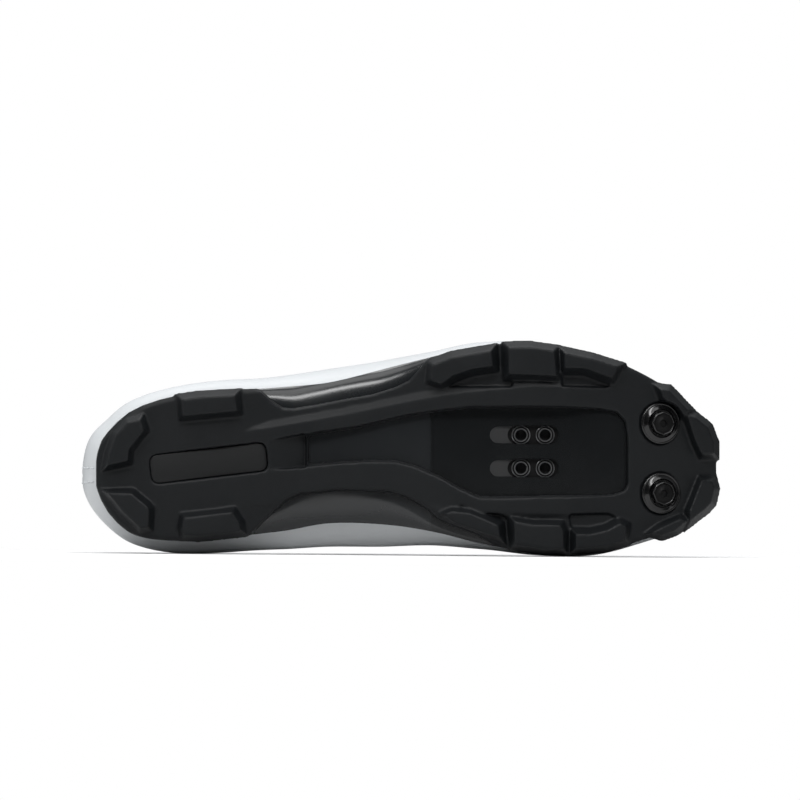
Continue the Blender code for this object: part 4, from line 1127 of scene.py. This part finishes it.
tongueValues = {
    "gap": 0.0012, "thick": 0.0032, "lap": 0.010, "top": 0.020, "front": 12.8, "back": 8.5, "rows": 10,
    "narrowing": 0.05, "crown": 0.0008, "rim": 0.0011,
    "tab": [(0.40, 0.00, 0.80), (0.75, 0.22, 0.74), (1.00, 0.50, 0.56)],  # reach, rise and width of the end
}


def underLip(place, distance):
    climb = climbBelow(place, distance)
    return wallPoint(place, climb) - wallNormal(place, climb) * (last["wall"] + tongueValues["gap"])


def makeTongue():
    v = tongueValues
    rows = []
    for k in range(v["rows"]):
        row = v["front"] - (v["front"] - v["back"]) * k / (v["rows"] - 1)
        lap = v["lap"] * (1.0 - v["narrowing"] * k)
        left = [underLip(row, d) for d in (lap, 0.5 * lap, 0.0)]
        right = [underLip(fullRound - row, d) for d in (0.0, 0.5 * lap, lap)]
        middle = 0.5 * (left[-1] + right[0])
        middle.z += v["crown"]
        rows.append(left + [middle] + right)
    before, lastRow = rows[-2], rows[-1]
    middle = lastRow[3]
    along = (lastRow[3] - before[3]).normalized()
    for reach, rise, narrow in v["tab"]:
        shift = (along * reach + Vector((0, 0, rise))) * v["top"]
        rows.append([middle + (p - middle) * narrow + shift for p in lastRow])

    def pointAt(u, w):
        columns = [smoothLine([row[i] for row in rows], w * (len(rows) - 1)) for i in range(7)]
        return smoothLine(columns, u * 6)

    pad = gridPiece("tonguePad", 36, 90, pointAt)
    faceTowards(pad, middleFace(pad), Vector((0, 0, 1)))
    addModifier(pad, "SOLIDIFY", thickness=v["thick"], offset=-1.0, use_even_offset=False)
    addModifier(pad, "BEVEL", width=v["rim"], segments=3, limit_method="ANGLE", angle_limit=math.radians(50))
    applyModifiers(pad)
    finishPiece(pad, stuffs["tongueKnit"], ["tongue"])
    return pad


makeTongue()
print("tongue ready")


# Footbed: a thin foam sole with a cupped rim under a knitted cover

footbedValues = {"clear": 0.0010, "thick": 0.0030, "rim": 0.0028, "gap": 0.0005, "flatter": 0.75}


def makeFootbed():
    inset = last["tuck"] + last["wall"] + footbedValues["clear"]
    thick = footbedValues["thick"]
    start, end = edgePoint(0).x + inset + 0.0004, edgePoint(toePlace).x - inset - 0.0004

    def pointAt(u, w):
        x = start + (end - start) * 0.5 * (1 - math.cos(math.pi * u))
        left, right = edgeAcross(x, "outer") + inset * 1.1, edgeAcross(x, "inner") - inset * 1.1
        if right < left:
            left = right = (left + right) / 2
        y = left + (right - left) * w
        rim = fade(abs(w - 0.5) * 2, 0.55, 1.0)
        cup = footbedValues["rim"] * rim * (1 - fade(x, 0.10, 0.20) * footbedValues["flatter"])
        return Vector((x, y, seatHeight(x) + footbedValues["gap"] + thick + cup))

    bed = gridPiece("footbed", 90, 26, pointAt)
    faceTowards(bed, middleFace(bed), Vector((0, 0, 1)))
    addModifier(bed, "SOLIDIFY", thickness=thick - 0.0002, offset=-1.0, use_even_offset=False)
    applyModifiers(bed)
    return finishPiece(bed, stuffs["footbedCloth"], ["insole"], flat=60)


makeFootbed()
print("footbed ready")


# Lace: flat bars over the tongue, each end down through its eyelet, with runs under the facing between rows

laceValues = {
    "width": 0.0052, "thick": 0.0014, "neck": 0.0031, "neckThick": 0.0022, "lift": 0.0011, "under": 0.0009,
    "eyeletPath": [(-0.0034, 0.0), (-0.0010, 0.0), (0.0012, 0.0006)],  # along the hole and towards the lip
    "overEdge": 0.0030, "widening": (1.3, 3.2), "flattening": (1.3, 3.0),
    "underWidth": (0.0026, 0.0014), "underWidening": (0.8, 2.0),
    "underPath": [(0.0, 0.0010), (0.04, 0.0026), (0.2, 0.0029), (0.5, 0.0029), (0.8, 0.0029), (0.96, 0.0026),
                  (1.0, 0.0010)],  # share of the way and depth
}


def makeLace():
    v = laceValues
    rise = v["lift"] + upperValues["facingRise"]
    parts = []
    for k in range(upperValues["eyelets"]):
        left, right = eyeletPlaces(k)
        points = []
        for place, inner in ((left, False), (right, True)):
            axes = eyeletAxes(place)
            hole = axes.translation
            normal = axes.to_3x3() @ Vector((0, 0, 1))
            lip = wallPoint(place, 2.0) + wallNormal(place, 2.0) * rise
            toLip = (lip - hole).normalized()
            side = [hole + normal * up + toLip * over for up, over in v["eyeletPath"]]
            side += [hole + toLip * v["overEdge"] + normal * rise, lip]
            points += list(reversed(side)) if inner else side
        throat = (wallPoint(left + 0.3, 2.0) - wallPoint(left - 0.3, 2.0)).normalized()
        count = len(points) - 1
        ups = []
        for i in range(count + 1):
            ahead = (points[min(i + 1, count)] - points[max(i - 1, 0)]).normalized()
            ups.append(throat.cross(ahead).normalized())

        def upAt(t):
            i = min(int(t), count - 1)
            return ups[i].lerp(ups[i + 1], t - i).normalized()

        def widthAt(t):
            return v["neck"] + (v["width"] - v["neck"]) * fade(min(t, count - t), *v["widening"])

        def thickAt(t):
            return v["neckThick"] + (v["thick"] - v["neckThick"]) * fade(min(t, count - t), *v["flattening"])

        parts.append(cordPiece("laceBarCopy", points, widthAt, thickAt, upAt))
    for k in range(upperValues["eyelets"] - 1):
        side = k % 2
        first, second = eyeletPlaces(k)[side], eyeletPlaces(k + 1)[side]
        points = []
        for t, depth in v["underPath"]:
            place = first + (second - first) * t
            climb = climbBelow(place, upperValues["eyeletInset"])
            points.append(wallPoint(place, climb) - wallNormal(place, climb) * depth)
        middle = first + (second - first) / 2
        up = wallNormal(middle, climbBelow(middle, upperValues["eyeletInset"]))
        narrow, wider = v["underWidth"]
        parts.append(cordPiece("laceUnderCopy", points,
                               lambda t: narrow + wider * fade(min(t, 6 - t), *v["underWidening"]),
                               lambda t: v["under"], lambda t: up))
    bars = ["lace_bar_%d" % (k + 1) for k in range(upperValues["eyelets"])]
    return finishPiece(joinPieces("laceThreaded", parts), stuffs["laceWeave"], bars)


makeLace()
print("lace ready")


# Floor, light and camera

stageValues = {
    "lookUp": 0.9, "distance": 3.0, "lens": 321.0, "aim": (0.1351, -0.0287, 0.006),
    "sensor": 36.0, "clip": (0.05, 20.0), "lampAim": (0, 0, 0.05), "skyTint": (0.96, 0.98, 1.0, 1.0),
    "floorRough": 0.9, "floorShine": 0.1, "floorSize": (1.3, 0.60), "floorCentre": (0.0, -0.15),
    "floorTone": 0.68, "floorGlow": 0.12,
    "lamps": {
        "keyBox": {"place": (-0.15, -0.50, 1.25), "size": (1.5, 0.7), "power": 8.0},
        "backBox": {"place": (0.0, 0.35, 1.20), "size": (1.2, 0.4), "power": 7.5},
        "sideBox": {"place": (-1.5, -0.25, 0.55), "size": (0.9, 0.9), "power": 4.5},
        "toeBox": {"place": (1.3, -0.85, 0.40), "size": (0.7, 0.7), "power": 1.5},
        "stripBox": {"place": (-0.10, -1.15, 0.98), "size": (1.5, 0.22), "power": 15.0},
    },
    "skyLow": 0.08, "skyHigh": 0.60, "skyFront": 0.03, "skyLeft": 1.3, "skyRight": 0.7,
}


def makeFloor():
    bpy.ops.object.select_all(action="DESELECT")
    bpy.ops.mesh.primitive_plane_add(size=1.0)
    ground = bpy.context.object
    ground.name = "studioFloor"
    for vertex in ground.data.vertices:
        vertex.co.x = vertex.co.x * stageValues["floorSize"][0] + stageValues["floorCentre"][0]
        vertex.co.y = vertex.co.y * stageValues["floorSize"][1] + stageValues["floorCentre"][1]
    stuff = bpy.data.materials.new("studioFloorPaint")
    stuff.use_nodes = True
    tree = stuff.node_tree
    shader = tree.nodes["Principled BSDF"]
    place = addNode(tree, "ShaderNodeTexCoord").outputs["Object"]
    cloud = useGroup(tree, "cloud", {"Vector": place, "Scale": 2.0, "Contrast": 0.4})
    tone = stageValues["floorTone"]
    paler = tone + 0.01
    tint = mixed(tree, cloud.outputs["Mask"], (tone, tone, tone, 1.0), (paler, paler, paler, 1.0))
    tree.links.new(tint, shader.inputs["Base Color"])
    shader.inputs["Roughness"].default_value = stageValues["floorRough"]
    shader.inputs["Specular IOR Level"].default_value = stageValues["floorShine"]
    shader.inputs["Emission Color"].default_value = (1.0, 1.0, 1.0, 1.0)
    path = addNode(tree, "ShaderNodeLightPath")
    glow = maths(tree, "MULTIPLY", path.outputs["Is Camera Ray"], stageValues["floorGlow"])
    tree.links.new(glow, shader.inputs["Emission Strength"])
    ground.data.materials.append(stuff)


def makeWorld():
    world = bpy.data.worlds.new("studioWorld")
    world.use_nodes = True
    scene.world = world
    tree = world.node_tree
    tree.nodes.clear()
    out = addNode(tree, "ShaderNodeOutputWorld")
    path = addNode(tree, "ShaderNodeLightPath")
    coordinates = addNode(tree, "ShaderNodeTexCoord")
    parts = addNode(tree, "ShaderNodeSeparateXYZ", {0: coordinates.outputs["Generated"]})
    rise = ranged(tree, parts.outputs["Z"], 0.0, 0.9, stageValues["skyLow"], stageValues["skyHigh"])
    front = ranged(tree, parts.outputs["Y"], -0.9, 0.3, stageValues["skyFront"], 1.0)
    left = ranged(tree, parts.outputs["X"], -0.9, 0.9, stageValues["skyLeft"], stageValues["skyRight"])
    glow = maths(tree, "MULTIPLY", maths(tree, "MULTIPLY", rise, front), left)
    soft = addNode(tree, "ShaderNodeBackground", {"Color": stageValues["skyTint"], "Strength": glow})
    plain = addNode(tree, "ShaderNodeBackground", {"Color": (1, 1, 1, 1), "Strength": 1.0})
    mix = addNode(tree, "ShaderNodeMixShader", {0: path.outputs["Is Camera Ray"], 1: soft.outputs[0],
                                                2: plain.outputs[0]})
    tree.links.new(mix.outputs[0], out.inputs["Surface"])


def makeLight(name, place, size, power):
    data = bpy.data.lights.new(name, "AREA")
    data.shape = "RECTANGLE"
    data.size, data.size_y = size
    data.energy = power
    lamp = bpy.data.objects.new(name, data)
    scene.collection.objects.link(lamp)
    lamp.location = place
    lamp.rotation_mode = "QUATERNION"
    lamp.rotation_quaternion = (Vector(stageValues["lampAim"]) - Vector(place)).to_track_quat("-Z", "Y")


def makeCamera():
    data = bpy.data.cameras.new("photoCamera")
    data.lens = stageValues["lens"]
    data.sensor_width = stageValues["sensor"]
    data.clip_start, data.clip_end = stageValues["clip"]
    camera = bpy.data.objects.new("photoCamera", data)
    scene.collection.objects.link(camera)
    across = ownX
    tilt = math.asin(ownZ.z) - math.radians(stageValues["lookUp"])
    ahead = Matrix.Rotation(-tilt, 3, across) @ ownZ
    up = across.cross(ahead)
    aim = toRow @ Vector(stageValues["aim"])
    facing = Matrix((across, up, -ahead)).transposed().to_4x4()
    camera.matrix_world = Matrix.Translation(aim - ahead * stageValues["distance"]) @ facing
    scene.camera = camera
    print("camera height", round(camera.matrix_world.translation.z, 4),
          "looks up", round(math.degrees(math.asin(ahead.z)), 2))


makeFloor()
makeWorld()
for lampName, lamp in stageValues["lamps"].items():
    makeLight(lampName, lamp["place"], lamp["size"], lamp["power"])
makeCamera()
scene.view_settings.view_transform = "Standard"
print("stage ready")
